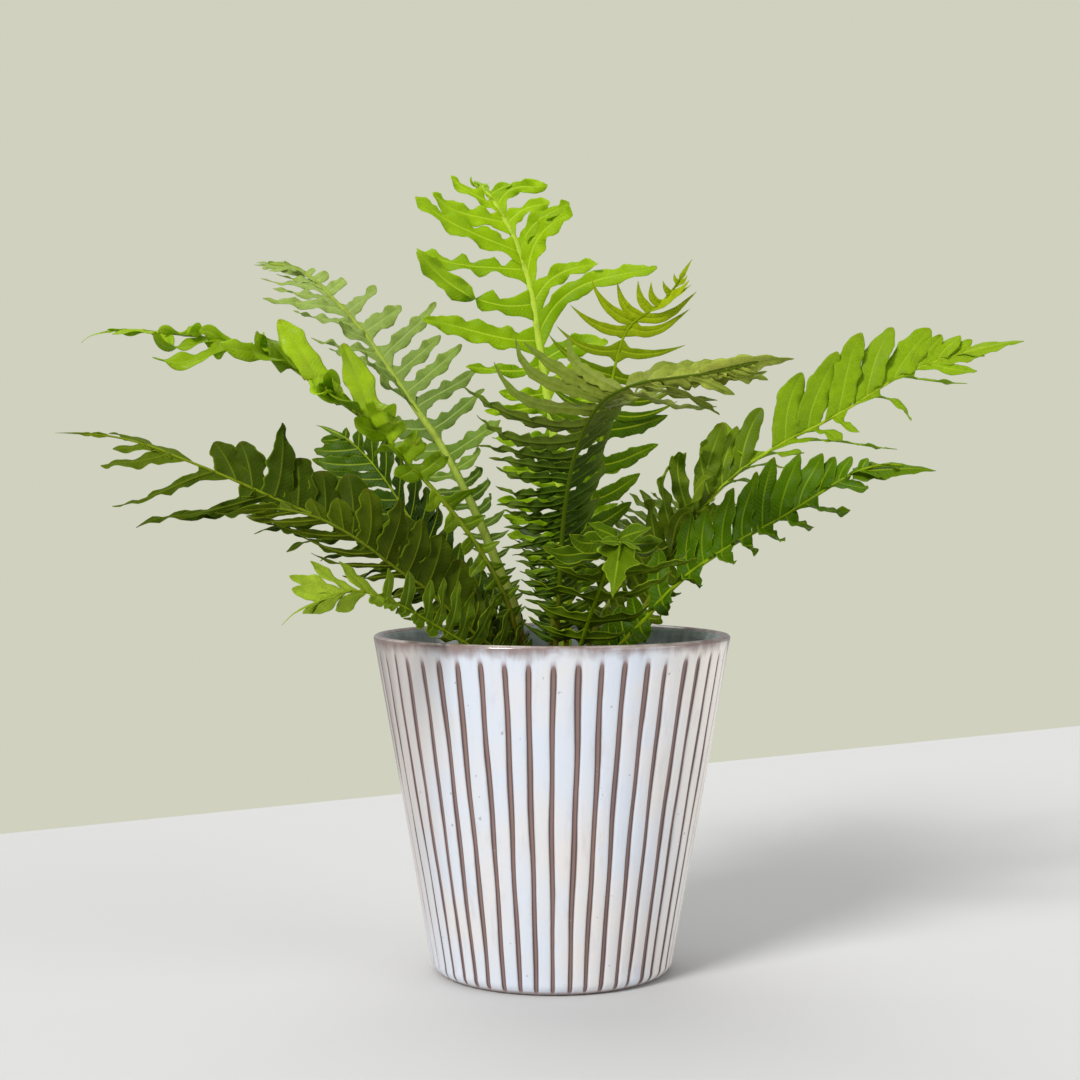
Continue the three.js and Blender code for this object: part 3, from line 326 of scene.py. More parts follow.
            (0.918, 1, -12.7, -2, 5, 4, dict(tip0=0.2, turn=0.4)),
            (0.924, -1, 4, 1, 2.8, 3.5, dict(tip0=0.8)),
            (0.956, 1, -11.3, -1, -1.6, 3, dict(tip0=0.2)),
            (0.958, -1, -3.4, -0, 3.1, 2.6, dict(tip0=0.6)),
            (0.989, -1, -3.7, 0, 1.2, 2.2, dict()),
            (0.996, 1, -4.7, 0, -2.3, 2.2, dict()),
        ],
    ),
    dict(
        name="frond_left_dark", up=(0, 0.75, 0.6), r=(1.8, 0.55), gap=11, tip=13,
        path=[
            (-14, -1, 115), (-18.4, -4, 133.6), (-34.2, -8, 147.3), (-54.7, -12, 163.3), (-77.1, -16, 178.7), (-96, -20, 190.3),
            (-107.3, -22, 195.2), (-117.3, -24, 199.7), (-128.6, -25, 204.9), (-140, -26, 209.8), (-151.4, -26, 214.3), (-160.5, -25, 218),
            (-171, -24, 221.3), (-181.5, -22, 223.4), (-190.7, -21, 224.2),
        ],
        left=[
            (0.089, 1.6, 6, 13.1), (0.187, 2.3, 8, 16.3), (0.307, 2.7, 10, 19.7), (0.432, 2.7, 12, 18.6), (0.489, 4, 12, 19.5),
            (0.535, 1.1, 12, 20.3), (0.577, 0.8, 13, 21.6), (0.625, 2.5, 14, 30.7), (0.668, -2.9, 14, 21.3), (0.717, -4.4, 12, 15.6),
            (0.763, -5, 9, 10.7), (0.812, -6, 6, 6.3), (0.857, -4.9, 4, 5), (0.908, -6.8, 2, 4.9), (0.958, -4.3, 1, 2.5),
        ],
        right=[
            (0.089, -9, -8, -0.6), (0.187, -10.2, -12, -2.6), (0.307, -12, -16, -3.4), (0.432, -15.5, -20, -4), (0.535, -19.8, -22, -4.3),
            (0.593, -27.4, -24, -7.3), (0.655, -29, -24, -8.4), (0.701, -39.2, -22, -17.8), (0.744, -38, -20, -12), (0.792, -28.2, -16, -6.7),
            (0.853, -22.2, -10, -5.6), (0.908, -14, -6, -4.7), (0.958, -9.3, -2, -2.1),
        ],
        own=[
            (0.462, 1, -1.4, 8, 26.3, 14, dict(tip0=0.75, tp=2.6)),
            (0.521, 1, -1.5, 8, 21.6, 14, dict(tip0=0.8, tp=3.0)),
            (0.577, 1, -1, 7, 21, 14, dict(tip0=0.8, tp=3.0)),
            (0.592, -1, -27.5, -16, -2, 6, dict(sway=0.15, turn=0.8)),
            (0.625, 1, 3.2, 6, 31.6, 12, dict(tip0=0.35, tp=1.2, turn=0.7, turn_from=0.5, turn_to=1.0)),
            (0.637, -1, -34.9, -16, -6.9, 4, dict(sway=0.22, turn=0.6, lean=-0.7, wave=2.2, rnd=1.0)),
            (0.664, -1, -44.4, -18, -14, 4.4, dict(sway=0.22, turn=0.6, tip0=0.35, lean=-0.7, wave=2.2, rnd=1.0)),
            (0.668, 1, -5.2, 5, 19.8, 12.5, dict(tip0=0.66)),
            (0.7, 1, -9.4, 4, 16.5, 12, dict(tip0=0.6)),
            (0.744, -1, -38.9, -14, -12.4, 4.5, dict(sway=0.16, turn=1.0, tip0=0.3)),
            (0.812, 1, -12.5, 2, 5.7, 6, dict(tip0=0.5)),
            (0.833, -1, -27.1, -6, -4.3, 6.5, dict(tip0=0.55, turn=0.4)),
            (0.841, 1, -23.7, 4, 10, 8, dict(tip0=0.3, tp=1.3, bow=0.14)),
            (0.881, -1, -13.2, -3, -1, 4, dict(tip0=0.4)),
            (0.988, 1, -3.3, -0, 0.6, 1.2, dict()),
            (0.988, -1, -3.3, -0, -0.2, 1.2, dict()),
        ],
    ),
    dict(
        name="frond_left_low", up=(0.1, 0.7, 0.6), r=(1.6, 0.55), gap=10, tip=10,
        path=[
            (-12, -11, 113), (-17.4, -18, 129.4), (-33.4, -28, 144.4), (-51.2, -40, 162), (-58.6, -46, 167.4), (-66, -52, 173.5),
            (-73.1, -58, 179.6), (-81.2, -64, 185.3), (-89.3, -69, 189.8), (-99.4, -74, 192.9), (-107.6, -77, 194), (-113.4, -79, 193.6),
        ],
        left=[
            (0.122, 4.1, 6, 16.1), (0.281, 4.6, 8, 18), (0.371, 5.5, 8, 19.5), (0.462, 7.4, 8, 19.9), (0.534, 8.3, 8, 23.4), (0.608, 7, 8, 24.8),
            (0.681, 1.9, 8, 22.3), (0.757, -2.8, 8, 14.9), (0.826, -4.8, 6, 8.5), (0.902, -5.2, 3, 3.8), (0.96, -4.7, 1, 1.9),
        ],
        right=[
            (0.122, -8.8, -8, -2.2), (0.281, -12.4, -12, -3.2), (0.462, -17.2, -16, -3.2), (0.538, -21.6, -17, -0.4), (0.582, -32, -18, 4.6),
            (0.648, -32.9, -18, 7.2), (0.734, -32.1, -14, 4.2), (0.826, -26.5, -9, -0.7), (0.902, -17.8, -5, -2.3), (0.96, -7.3, -2, -1.9),
        ],
    ),
    dict(
        name="frond_low_splayed", up=(0.1, 0.45, 0.9), r=(1.5, 0.55), gap=7, tip=20,
        path=[
            (-7, -16, 113), (-13.2, -22, 126.8), (-25.2, -33, 133.4), (-36.4, -44, 141.1), (-46.9, -56, 148.4), (-57.1, -68, 155.6),
            (-66.9, -80, 161.1), (-73.5, -88, 162.9), (-79.8, -96, 162.2), (-85.8, -102, 159.9),
        ],
        left=[
            (0.124, 4.1, 2, 13), (0.257, 7.2, 2, 18.5), (0.346, 7.8, 2, 20.9), (0.455, 3.1, 2, 19.9), (0.558, 1.7, 2, 15.4), (0.652, 1.1, 2, 14.5),
            (0.738, 1, -0, 12.3), (0.812, -10.4, -2, 10.8), (0.886, -16.6, -4, 11.5), (0.934, -16.3, -6, 6.5), (0.979, -11.8, -5, 3.4),
        ],
        right=[
            (0.124, -5.9, -14, -2), (0.257, -4.3, -18, -2.5), (0.389, -2.7, -20, -2.9), (0.522, -1.9, -20, -3.1), (0.652, -1.9, -20, -2.8),
            (0.777, -2.4, -18, -3.2), (0.856, -8.9, -12, -7.5), (0.934, -10.2, -8, -7.3), (0.979, -8.9, -5, -5.4),
        ],
    ),
    dict(
        name="frond_back_low_left", up=(0.3, -0.8, 0.5), r=(1.6, 0.5), gap=7, tip=8,
        path=[
            (-10, 11, 115), (-17, 16, 137.3), (-31, 22, 151.5), (-43.4, 29, 164.7), (-54.8, 36, 178.5), (-62.5, 42, 189.5), (-67.9, 46, 197.6),
            (-74.5, 51, 207), (-83.3, 57, 217.3), (-93.3, 62, 225.8), (-100.4, 65, 229.3),
        ],
        left=[
            (0.151, -7.8, 2, 2.4), (0.405, -14.3, 6, -0.2), (0.526, -16.8, 8, 0.7), (0.686, -23.5, 10, 2.6), (0.764, -27.3, 10, 2.2),
            (0.828, -27.4, 10, 2), (0.892, -19.6, 8, -0.1), (0.947, -11, 5, -1), (1, -5.7, 2, -1.3),
        ],
        right=[
            (0.151, 3.4, 0, 12.8), (0.405, 4.5, -3, 15.3), (0.526, 6.1, -4, 18.9), (0.619, 4.7, -5, 22), (0.686, 1.9, -5, 22.8),
            (0.764, 1.5, -5, 19.7), (0.828, 0.2, -4, 15.5), (0.892, 1.1, -3, 9.5), (0.947, 1.1, -2, 4.6), (1, 0.6, -1, 2.7),
        ],
    ),
    dict(
        name="frond_back_right", up=(-0.4, -0.5, 0.8), r=(1.7, 0.55), gap=8.6, tip=12,
        path=[
            (9, 13, 115), (18.3, 20, 140.4), (26.6, 34, 154.4), (35.3, 52, 167.9), (44.6, 74, 180.1), (53.5, 98, 188.2), (61.3, 122, 191.9),
            (68.4, 144, 191.8), (73.7, 160, 188.7),
        ],
        left=[
            (0.145, -8.6, 2, 4.2), (0.257, -14.8, 6, 5.9), (0.382, -20.4, 8, 7.9), (0.52, -20.8, 10, 11), (0.659, -17.4, 12, 11.3),
            (0.792, -11.7, 14, 8.8), (0.911, -6.3, 10, 5), (1, -2.8, 4, 2),
        ],
        right=[
            (0.145, 11.1, -2, 1), (0.257, 18.3, -2, 2.8), (0.382, 24, -2, 2.7), (0.52, 25.7, 0, 4.6), (0.659, 23.9, 4, 6.6), (0.792, 19.2, 8, 4.8),
            (0.911, 11.6, 8, 3), (1, 5.3, 4, 2),
        ],
    ),
    dict(
        name="frond_back_low", up=(0, -0.3, 1), r=(1.7, 0.55), gap=8.6, tip=12,
        path=[
            (-1, 15, 114), (0.6, 26, 144.4), (2.1, 44, 157.5), (2.3, 68, 167.9), (1.1, 94, 175), (-0.2, 120, 178.3), (-1.5, 144, 177.4),
            (-3, 164, 173), (-4.5, 178, 167),
        ],
        left=[
            (0.167, -6.9, 4, 4.1), (0.283, -11.6, 4, 7), (0.418, -18.8, 5, 7.6), (0.557, -20.3, 6, 7.5), (0.692, -19, 8, 5.7), (0.815, -14, 8, 3.9),
            (0.921, -7.1, 6, 1.9), (1, -3.6, 3, 1.5),
        ],
        right=[
            (0.167, 8.8, 4, 3.2), (0.283, 15.2, 4, 5.2), (0.418, 21.6, 5, 5.8), (0.557, 22.3, 6, 5.6), (0.692, 19.1, 8, 3.8), (0.815, 13, 8, 2.9),
            (0.921, 6.6, 6, 1.4), (1, 3.6, 3, 1),
        ],
    ),
]


# ---------------------------------------------------------------- small helpers
def unit(a):
    a = np.asarray(a, float)
    n = np.linalg.norm(a, axis=-1, keepdims=True)
    return a / np.maximum(n, 1e-12)


def smooth(x, a, b):
    """0 below a, 1 above b, eased between."""
    t = np.clip((np.asarray(x, float) - a) / (b - a), 0, 1)
    return t * t * (3 - 2 * t)


def rotate_about(v, axis, angle):
    """Rows of v turned about the rows of axis by angle, in radians."""
    c, s = np.cos(angle)[..., None], np.sin(angle)[..., None]
    return v * c + np.cross(axis, v) * s + axis * (np.sum(axis * v, -1, keepdims=True)) * (1 - c)


class Spline:
    """A centripetal Catmull-Rom curve through points, by arc length."""

    def __init__(self, pts):
        p = np.asarray(pts, float)
        m = len(p)

        def at(i):
            if i < 0:
                return 2 * p[0] - p[1]
            if i >= m:
                return 2 * p[-1] - p[-2]
            return p[i]

        out = []
        for i in range(m - 1):
            p0, p1, p2, p3 = at(i - 1), p[i], p[i + 1], at(i + 2)
            d0, d1, d2 = (max(np.linalg.norm(b - a) ** 0.5, 1e-4) for a, b in ((p0, p1), (p1, p2), (p2, p3)))
            t1 = ((p1 - p0) / d0 - (p2 - p0) / (d0 + d1) + (p2 - p1) / d1) * d1
            t2 = ((p2 - p1) / d1 - (p3 - p1) / (d1 + d2) + (p3 - p2) / d2) * d1
            for t in np.arange(24) / 24:
                out.append(
                    p1 * (2 * t**3 - 3 * t**2 + 1) + t1 * (t**3 - 2 * t**2 + t) + p2 * (-2 * t**3 + 3 * t**2) + t2 * (t**3 - t**2)
                )
        out.append(p[-1])
        self.p = np.array(out)
        self.s = np.r_[0, np.cumsum(np.linalg.norm(np.diff(self.p, axis=0), axis=1))]
        self.length = self.s[-1]

    def at(self, s):
        d = np.asarray(s, float) * self.length
        return np.stack([np.interp(d, self.s, self.p[:, k]) for k in range(3)], -1)

    def tangent(self, s):
        e = 0.006
        s = np.asarray(s, float)
        return unit(self.at(np.minimum(s + e, 1)) - self.at(np.maximum(s - e, 0)))


class Shape:
    """Collects vertices, faces and per-vertex numbers, and makes one mesh object."""

    KEYS = ("t", "v", "um", "vm", "side", "rnd", "fs", "kind")

    def __init__(self, keys=None):
        self.keys = keys or self.KEYS
        self.verts, self.faces, self.n = [], [], 0
        self.attrs = {k: [] for k in self.keys}

    def add(self, verts, faces, **attrs):
        verts = np.asarray(verts, float).reshape(-1, 3)
        k = len(verts)
        self.verts.append(verts)
        self.faces.append(np.asarray(faces, int) + self.n)
        for key in self.keys:
            a = np.asarray(attrs.get(key, 0.0), float)
            self.attrs[key].append(np.broadcast_to(a.reshape(-1) if a.ndim else a, (k,)))
        self.n += k

    def solid(self, verts, parts, **attrs):
        """Adds one closed part, its faces turned outwards."""
        verts = np.asarray(verts, float).reshape(-1, 3)
        mid = verts - verts.mean(0)
        volume = 0.0
        for f in parts:
            for k in range(1, f.shape[1] - 1):
                a, b, c = mid[f[:, 0]], mid[f[:, k]], mid[f[:, k + 1]]
                volume += np.sum(np.cross(a, b) * c)
        start = self.n
        if volume < 0:
            parts = [f[:, ::-1] for f in parts]
        self.add(verts, parts[0], **attrs)
        for f in parts[1:]:
            self.faces.append(np.asarray(f, int) + start)

    def object(self, name, material, scale=MM):
        mesh = bpy.data.meshes.new(name)
        verts = np.concatenate(self.verts) * scale
        loops, starts, totals = [], [], []
        at = 0
        for f in self.faces:
            loops.append(f.reshape(-1))
            starts.append(at + np.arange(len(f)) * f.shape[1])
            totals.append(np.full(len(f), f.shape[1]))
            at += f.size
        mesh.vertices.add(len(verts))
        mesh.vertices.foreach_set("co", verts.astype(np.float32).reshape(-1))
        loops, starts, totals = (np.concatenate(a).astype(np.int32) for a in (loops, starts, totals))
        mesh.loops.add(len(loops))
        mesh.loops.foreach_set("vertex_index", loops)
        mesh.polygons.add(len(starts))
        mesh.polygons.foreach_set("loop_start", starts)
        mesh.polygons.foreach_set("loop_total", totals)
        mesh.polygons.foreach_set("use_smooth", np.ones(len(starts), bool))
        mesh.update(calc_edges=True)
        mesh.validate()
        for key in self.keys:
            a = mesh.attributes.new(key, "FLOAT", "POINT")
            a.data.foreach_set("value", np.concatenate(self.attrs[key]).astype(np.float32))
        mesh.materials.append(material)
        o = bpy.data.objects.new(name, mesh)
        bpy.context.scene.collection.objects.link(o)
        return o


def slab_faces(nu, nv):
    """Faces of a closed slab: a top grid of (nu+1) x (nv+1) points, then the same grid underneath."""
    w = nv + 1
    i, j = np.meshgrid(np.arange(nu), np.arange(nv), indexing="ij")
    a = (i * w + j).reshape(-1)
    top = np.stack([a, a + 1, a + w + 1, a + w], 1)
    m = (nu + 1) * w
    bottom = np.stack([a + m, a + w + m, a + w + 1 + m, a + 1 + m], 1)
    i, j = np.arange(nu), np.arange(nv)
    low = i * w
    side0 = np.stack([low, low + w, low + w + m, low + m], 1)
    high = i * w + nv
    side1 = np.stack([high + w, high, high + m, high + w + m], 1)
    end0 = np.stack([j + 1, j, j + m, j + 1 + m], 1)
    last = nu * w + j
    end1 = np.stack([last, last + 1, last + 1 + m, last + m], 1)
    return np.concatenate([top, bottom, side0, side1, end0, end1])


NU = 24
ACROSS = np.array([-1, -0.8, -0.5, -0.2, -0.07, 0.07, 0.2, 0.5, 0.8, 1.0])
SLAB = slab_faces(NU, len(ACROSS) - 1)


# ---------------------------------------------------------------- one pinna
def pinna(shape, rng, root, offset, tangent, side, pitch, width, look, fs, sign):
    """A leaf segment from root to root + offset: a wavy blade, joined broadly to the rachis, with a sunken midrib
    above and a raised one below. pitch is its share of the rachis, width its blade's breadth."""
    e = look
    length = np.linalg.norm(offset)
    d0 = offset / length
    n0 = unit(np.cross(tangent, d0)) * side * sign
    w0 = unit(tangent - d0 * np.dot(tangent, d0))
    small = min(1.0, length / 20.0)
    # the midrib: it leaves the rachis squarely, then bows towards the frond's tip
    bow = e["bow"] * length * (0.6 + 0.8 * rng.random())
    sway = e["sway"] * length * (rng.random() * 2 - 1)
    arch = e["arch"] * length * (0.4 + 1.2 * rng.random())
    p0, p3 = root, root + offset
    p1 = root + offset * 0.33 - w0 * (bow * 0.9 + sway) + n0 * arch
    p2 = root + offset * 0.68 - w0 * (bow * 0.5 - sway) + n0 * arch * 1.1
    t = np.linspace(0, 1, NU + 1)
    t = t - 0.05 * np.sin(2 * np.pi * t) / (2 * np.pi)
    t[-1] = 0.993
    q = t[:, None]
    mid = p0 * (1 - q) ** 3 + 3 * p1 * q * (1 - q) ** 2 + 3 * p2 * q**2 * (1 - q) + p3 * q**3
    # a slow coil of the outer part, over the upper face (+) or under it (-)
    der = unit(np.gradient(mid, axis=0))
    normal = unit(n0[None] - der * (der @ n0)[:, None])
    across = np.cross(normal, der)
    across = across * (1.0 if np.dot(across[0], tangent) > 0 else -1.0)
    coil = e["curl"] * (0.3 + 1.0 * rng.random()) * smooth(t, e["curl_from"], 1.0) ** 1.4 * small + e["coil"] * smooth(t, e["coil_from"], 1.0) ** 1.3
    flip = 1.0 if np.dot(np.cross(across[0], der[0]), normal[0]) > 0 else -1.0
    turn_in = rotate_about(der, across, flip * coil)
    normal = rotate_about(normal, across, flip * coil)
    step = np.linalg.norm(np.diff(mid, axis=0), axis=1)
    mid = root + np.concatenate([np.zeros((1, 3)), np.cumsum(0.5 * (turn_in[1:] + turn_in[:-1]) * step[:, None], axis=0)])
    der = turn_in
    # the blade turns about its midrib
    twist = e["twist"] * (rng.random() * 2 - 1) * smooth(t, 0.1, 1.0) + e["tilt"] * (rng.random() * 2 - 1) + e["lean"]
    twist = twist + e["turn"] * smooth(t, e["turn_from"], e["turn_to"])
    twist = twist * smooth(t, -0.1, 0.15)
    normal = rotate_about(normal, der, twist)
    across = unit(np.cross(normal, der))
    if np.dot(across[0], tangent) < 0:
        across = -across
    along = smooth(t, 0.0, 0.20)[:, None]
    spread = unit(tangent[None] * (1 - along) + across * along)
    # breadth: the full pitch at the rachis, a slight waist, then the blade and its tip
    tip0 = e["tip0"] * (0.9 + 0.2 * rng.random())
    taper = np.clip(1 - np.clip((t - tip0) / (1 - tip0), 0, 1) ** e["tp"], 0, 1) ** e["tq"]
    body = (0.86 + 0.14 * np.sin(np.pi * np.clip((t - 0.02) / 0.8, 0, 1))) * taper
    um = t * length
    v = ACROSS[None, :]
    low = v < 0
    join = smooth(t, 0.0, 0.15)[:, None]
    reach = np.where(low, 0.5 + 0.06 * e["join"], 0.5 - 0.02)
    half = pitch * e["join"] * reach * (1 - join) + 0.5 * width * body[:, None] * join
    k1, k2 = 2 * np.pi / e["wave_mm"] * (0.8 + 0.4 * rng.random()), 2 * np.pi / (e["wave_mm"] * 0.55)
    ph = rng.random(4) * 6.283
    jig = 0.5 * np.sin(um * 2 * np.pi / 31.0 + ph[2])[:, None]
    lumps = np.where(low, np.sin(k1 * um + ph[0])[:, None] + 0.3 * jig, np.sin(k1 * um + ph[1])[:, None] - 0.3 * jig)
    lumps2 = np.where(low, np.sin(k2 * um + ph[2])[:, None], np.sin(k2 * um + ph[3])[:, None])
    slim = np.clip(half / 1.8, 0.08, 1.0)
    live = smooth(t, 0.04, 0.2)[:, None] * (1 - 0.35 * smooth(t, 0.85, 1.0))[:, None]
    k3 = 2 * np.pi / (e["wave_mm"] * 0.31)
    crisp = np.where(low, np.sin(k3 * um + ph[1])[:, None], np.sin(k3 * um + ph[0])[:, None])
    edge = 1 + e["scallop"] * (0.75 * lumps + 0.40 * lumps2 + 0.22 * crisp) * np.abs(v) ** 1.5 * live * small
    x = half * v * edge
    wave = e["wave"] * small * (0.8 * np.where(low, np.cos(k1 * um + ph[0])[:, None], np.cos(k1 * um + ph[1])[:, None]) + 0.3 * lumps2) * np.abs(v) ** 1.5 * live * slim
    cup = (e["cup"] * (np.abs(v) - v**2 * 0.9) + e["fold"] * np.abs(v)) * half
    groove = -0.26 * small * slim * np.exp(-((v / 0.11) ** 2)) * (1 - 0.6 * t[:, None])
    quilt = e["quilt"] * np.sin(2 * np.pi * (um[:, None] - np.abs(x) * 0.6) / 2.9) * np.sin(np.pi * np.abs(v)) * live * slim
    z = wave + cup + groove + quilt
    thick = 0.30 * (0.45 + 0.55 * (1 - np.abs(v) ** 3)) * np.ones_like(z) * (0.5 + 0.5 * small) * (0.55 + 0.45 * slim)
    ridge = 0.45 * small * slim * np.exp(-((v / 0.12) ** 2)) * (1 - 0.75 * t[:, None])
    base = mid[:, None, :] + spread[:, None, :] * x[..., None]
    top = base + normal[:, None, :] * z[..., None]
    bottom = base + normal[:, None, :] * (z - thick - ridge)[..., None]
    two = lambda a: np.tile(np.broadcast_to(a, z.shape).reshape(-1), 2)
    shape.solid(
        np.concatenate([top.reshape(-1, 3), bottom.reshape(-1, 3)]), [SLAB],
        t=two(t[:, None]), v=two(v), um=two(um[:, None]), vm=two(x), side=np.repeat([0.0, 1.0], z.size), rnd=e.get("rnd", rng.random()), fs=fs, kind=0.0,
    )


def tube(shape, centre, radius, normal, sides=10, groove=0.0, **attrs):
    """A closed tube along the rows of centre, with a shallow groove on the side that normal points to."""
    n = len(centre)
    der = unit(np.gradient(centre, axis=0))
    up = unit(normal - der * np.sum(der * normal, 1, keepdims=True))
    right = unit(np.cross(der, up))
    a = np.arange(sides) / sides * 2 * np.pi
    r = radius[:, None] * (1 - groove * np.exp(-(((a + np.pi) % (2 * np.pi) - np.pi) / 0.55) ** 2))[None, :]
    ring = centre[:, None] + r[..., None] * (up[:, None] * np.cos(a)[None, :, None] + right[:, None] * np.sin(a)[None, :, None])
    verts = np.concatenate([ring.reshape(-1, 3), centre[:1], centre[-1:]])
    i, j = np.meshgrid(np.arange(n - 1), np.arange(sides), indexing="ij")
    p, q = (i * sides + j).reshape(-1), (i * sides + (j + 1) % sides).reshape(-1)
    quads = np.stack([p, p + sides, q + sides, q], 1)
    j = np.arange(sides)
    first, last, c0, c1 = j, (n - 1) * sides + j, n * sides, n * sides + 1
    cap0 = np.stack([np.full(sides, c0), first, (first + 1) % sides], 1)
    nxt = (n - 1) * sides + (j + 1) % sides
    cap1 = np.stack([np.full(sides, c1), nxt, last], 1)
    per = {k: np.concatenate([np.repeat(np.broadcast_to(np.asarray(x, float), (n,)), sides), np.broadcast_to(np.asarray(x, float), (n,))[[0, -1]]]) for k, x in attrs.items()}
    shape.solid(verts, [quads, cap0, cap1], **per)


def scale_blade(shape, rng, root, direction, normal, length, width, **attrs):
    """A thin pointed scale, as on a fern's crown and stem bases: a closed, slightly curved sliver."""
    d = unit(direction)
    n = unit(normal - d * np.dot(normal, d))
    w = np.cross(d, n)
    curl = rng.random() * 0.35 - 0.05
    rows = []
    for t, k in ((0, 0.7), (0.35, 1.0), (0.7, 0.62), (1.0, 0.06)):
        c = root + d * length * t + n * curl * length * t * t
        rows.append([c - w * width * k / 2, c + n * width * 0.12 * k, c + w * width * k / 2])
    top = np.array(rows)
    bottom = top - n * 0.16
    verts = np.concatenate([top.reshape(-1, 3), bottom.reshape(-1, 3)])
    shape.solid(verts, [slab_faces(3, 2)], **attrs)


# ---------------------------------------------------------------- one frond
def frond_shape(f, look, seed):
    rng = np.random.default_rng(seed)
    curve = Spline(f["path"])
    up = unit(np.array(f["up"], float))
    shape = Shape()
    # the blade's upper side, from the two rows of pinnae
    def offset_at(knots, s):
        k = np.array(knots, float)
        return np.array([np.interp(s, k[:, 0], k[:, c]) for c in (1, 2, 3)])

    votes = 0.0
    for knots, side in ((f["left"], 1), (f["right"], -1)):
        for k in knots:
            votes += np.dot(np.cross(curve.tangent(k[0]), unit(k[1:])) * side, up)
    sign = 1.0 if votes >= 0 else -1.0
    total = curve.length
    gap = look.get("gap", f["gap"])
    own = f.get("own", [])
    skip = []
    for side in (1, -1):
        mine = [o[0] for o in own if o[1] == side]
        if mine:
            skip.append((side, min(mine) - 0.35 * gap / total, max(mine) + 0.35 * gap / total))
    for knots, side in ((f["left"], 1), (f["right"], -1)):
        longest = max(np.linalg.norm(k[1:]) for k in knots)
        # a pinna at every measured place, and evenly in between
        at = []
        for a, b in zip(knots[:-1], knots[1:]):
            size = 0.5 * (np.linalg.norm(a[1:]) + np.linalg.norm(b[1:]))
            step = gap
            for lo, hi, sd, change in look.get("special", ()):
                if lo <= 0.5 * (a[0] + b[0]) <= hi and sd in (0, side):
                    step = change.get("gap", step)
            pitch = step * (0.6 + 0.4 * min(1, 1.35 * size / longest))
            n = max(1, int((b[0] - a[0]) * total / pitch + 0.42))
            at += [a[0] + (b[0] - a[0]) * i / n for i in range(n)]
        at.append(knots[-1][0])
        while at[-1] < 0.975:
            size = np.linalg.norm(offset_at(knots, at[-1]))
            at.append(at[-1] + gap * (0.30 + 0.58 * min(1, 1.35 * size / longest)) / total)
        at = np.array(at)
        mids = 0.5 * (at[1:] + at[:-1])
        pitches = np.diff(np.r_[2 * at[0] - mids[0], mids, 2 * at[-1] - mids[-1]]) * total
        for s, pitch in zip(at, pitches):
            if s >= 0.995 or any(sd == side and lo <= s <= hi for sd, lo, hi in skip):
                continue
            fade = 1 - smooth(s, knots[-1][0], 1.0) * 0.75
            off = offset_at(knots, s) * fade
            size = np.linalg.norm(off)
            if size < 2.2:
                continue
            e = dict(look)
            for lo, hi, sd, change in look.get("special", ()):
                if lo <= s <= hi and sd in (0, side):
                    e.update(change)
            off = off * e.get("long", 1.0) * (1 + e["uneven"] * (rng.random() * 2 - 1)) + rng.normal(size=3) * 0.02 * size
            tan = curve.tangent(s)
            lean = max(0.5, np.linalg.norm(np.cross(tan, unit(off))))
            width = min(pitch, 1.25 * gap) * e["share"] * lean * e.get("wide", 1.0) * (1 + 0.10 * (rng.random() * 2 - 1))
            if "width" in e:
                width = e["width"] * min(1.0, 1.5 * size / longest) ** 0.6 * e.get("wide", 1.0) * (1 + 0.12 * (rng.random() * 2 - 1))
            width = min(width, 0.8 * size)
            pinna(shape, rng, curve.at(s), off, tan, side, pitch, width, e, s, sign)
    # the pinnae measured one by one
    for s, side, dx, dy, dz, width, change in own:
        e = dict(look, uneven=0.0)
        e.update(change)
        own_rng = np.random.default_rng(int(s * 10000)) if "late" in change else rng
        pinna(shape, own_rng, curve.at(s), np.array([dx, dy, dz]), curve.tangent(s), side, e.get("pitch", gap), width, e, s, sign)
    # the end: the last pinnae run together into one long pointed lobe
    t = unit(curve.at(1.0) - curve.at(1 - 6.0 / total))
    side_dir = unit(np.cross(np.array(look.get("end_up", up), float), t))
    back = look["end_back"]
    e = dict(look, bow=0.0, arch=look["end_arch"], sway=0.02, join=0.5, twist=0.0, wave=look["end_wave"], curl=look["end_curl"], turn=0.0, coil=0.0, tip0=look["end_tip0"], tp=look["end_tp"], tq=look["end_tq"], scallop=look["end_scallop"], tilt=0.0, lean=0.0)
    root = curve.at(1 - back / total)
    pinna(shape, rng, root, curve.at(1.0) + t * max(6.0, f["tip"]) - root, side_dir, 1, gap * look["end"], gap * look["end"], e, 1.0, 1.0)
    # the stem and rachis
    n = max(24, int(total / 2.6))
    s = np.linspace(0, 1, n)
    centre = curve.at(s)
    radius = (f["r"][0] + (f["r"][1] - f["r"][0]) * s ** look.get("stem_pow", 0.8)) * look["stem_scale"]
    radius = radius * (1 + 0.35 * np.exp(-s * total / 7.0))
    radius[-1] *= 0.5
    tans = curve.tangent(s)
    left = np.array([offset_at(f["left"], x) for x in s])
    right = np.array([offset_at(f["right"], x) for x in s])
    adaxial = unit(np.cross(tans, unit(left) - unit(right))) * sign
    tube(shape, centre, radius, adaxial, groove=0.22, t=s, um=s * total, fs=s, kind=1.0, rnd=rng.random())
    # papery scales on the stem's foot
    foot = min(0.28, 26.0 / total)
    for _ in range(look.get("scales", 26)):
        x = rng.random() ** 1.6 * foot
        c, tt = curve.at(x), curve.tangent(x)
        a = rng.random() * 6.283
        side_v = unit(np.cross(tt, [0.3, 0.2, 1.0]))
        out = side_v * math.cos(a) + np.cross(tt, side_v) * math.sin(a)
        r = f["r"][0] * 1.05 * look["stem_scale"]
        scale_blade(shape, rng, c + out * r * 0.8, tt * 0.8 + out * (0.35 + rng.random() * 0.6), out, 2.2 + rng.random() * 3.2, 0.5 + rng.random() * 0.5, kind=2.0, rnd=rng.random(), fs=x)
    return shape


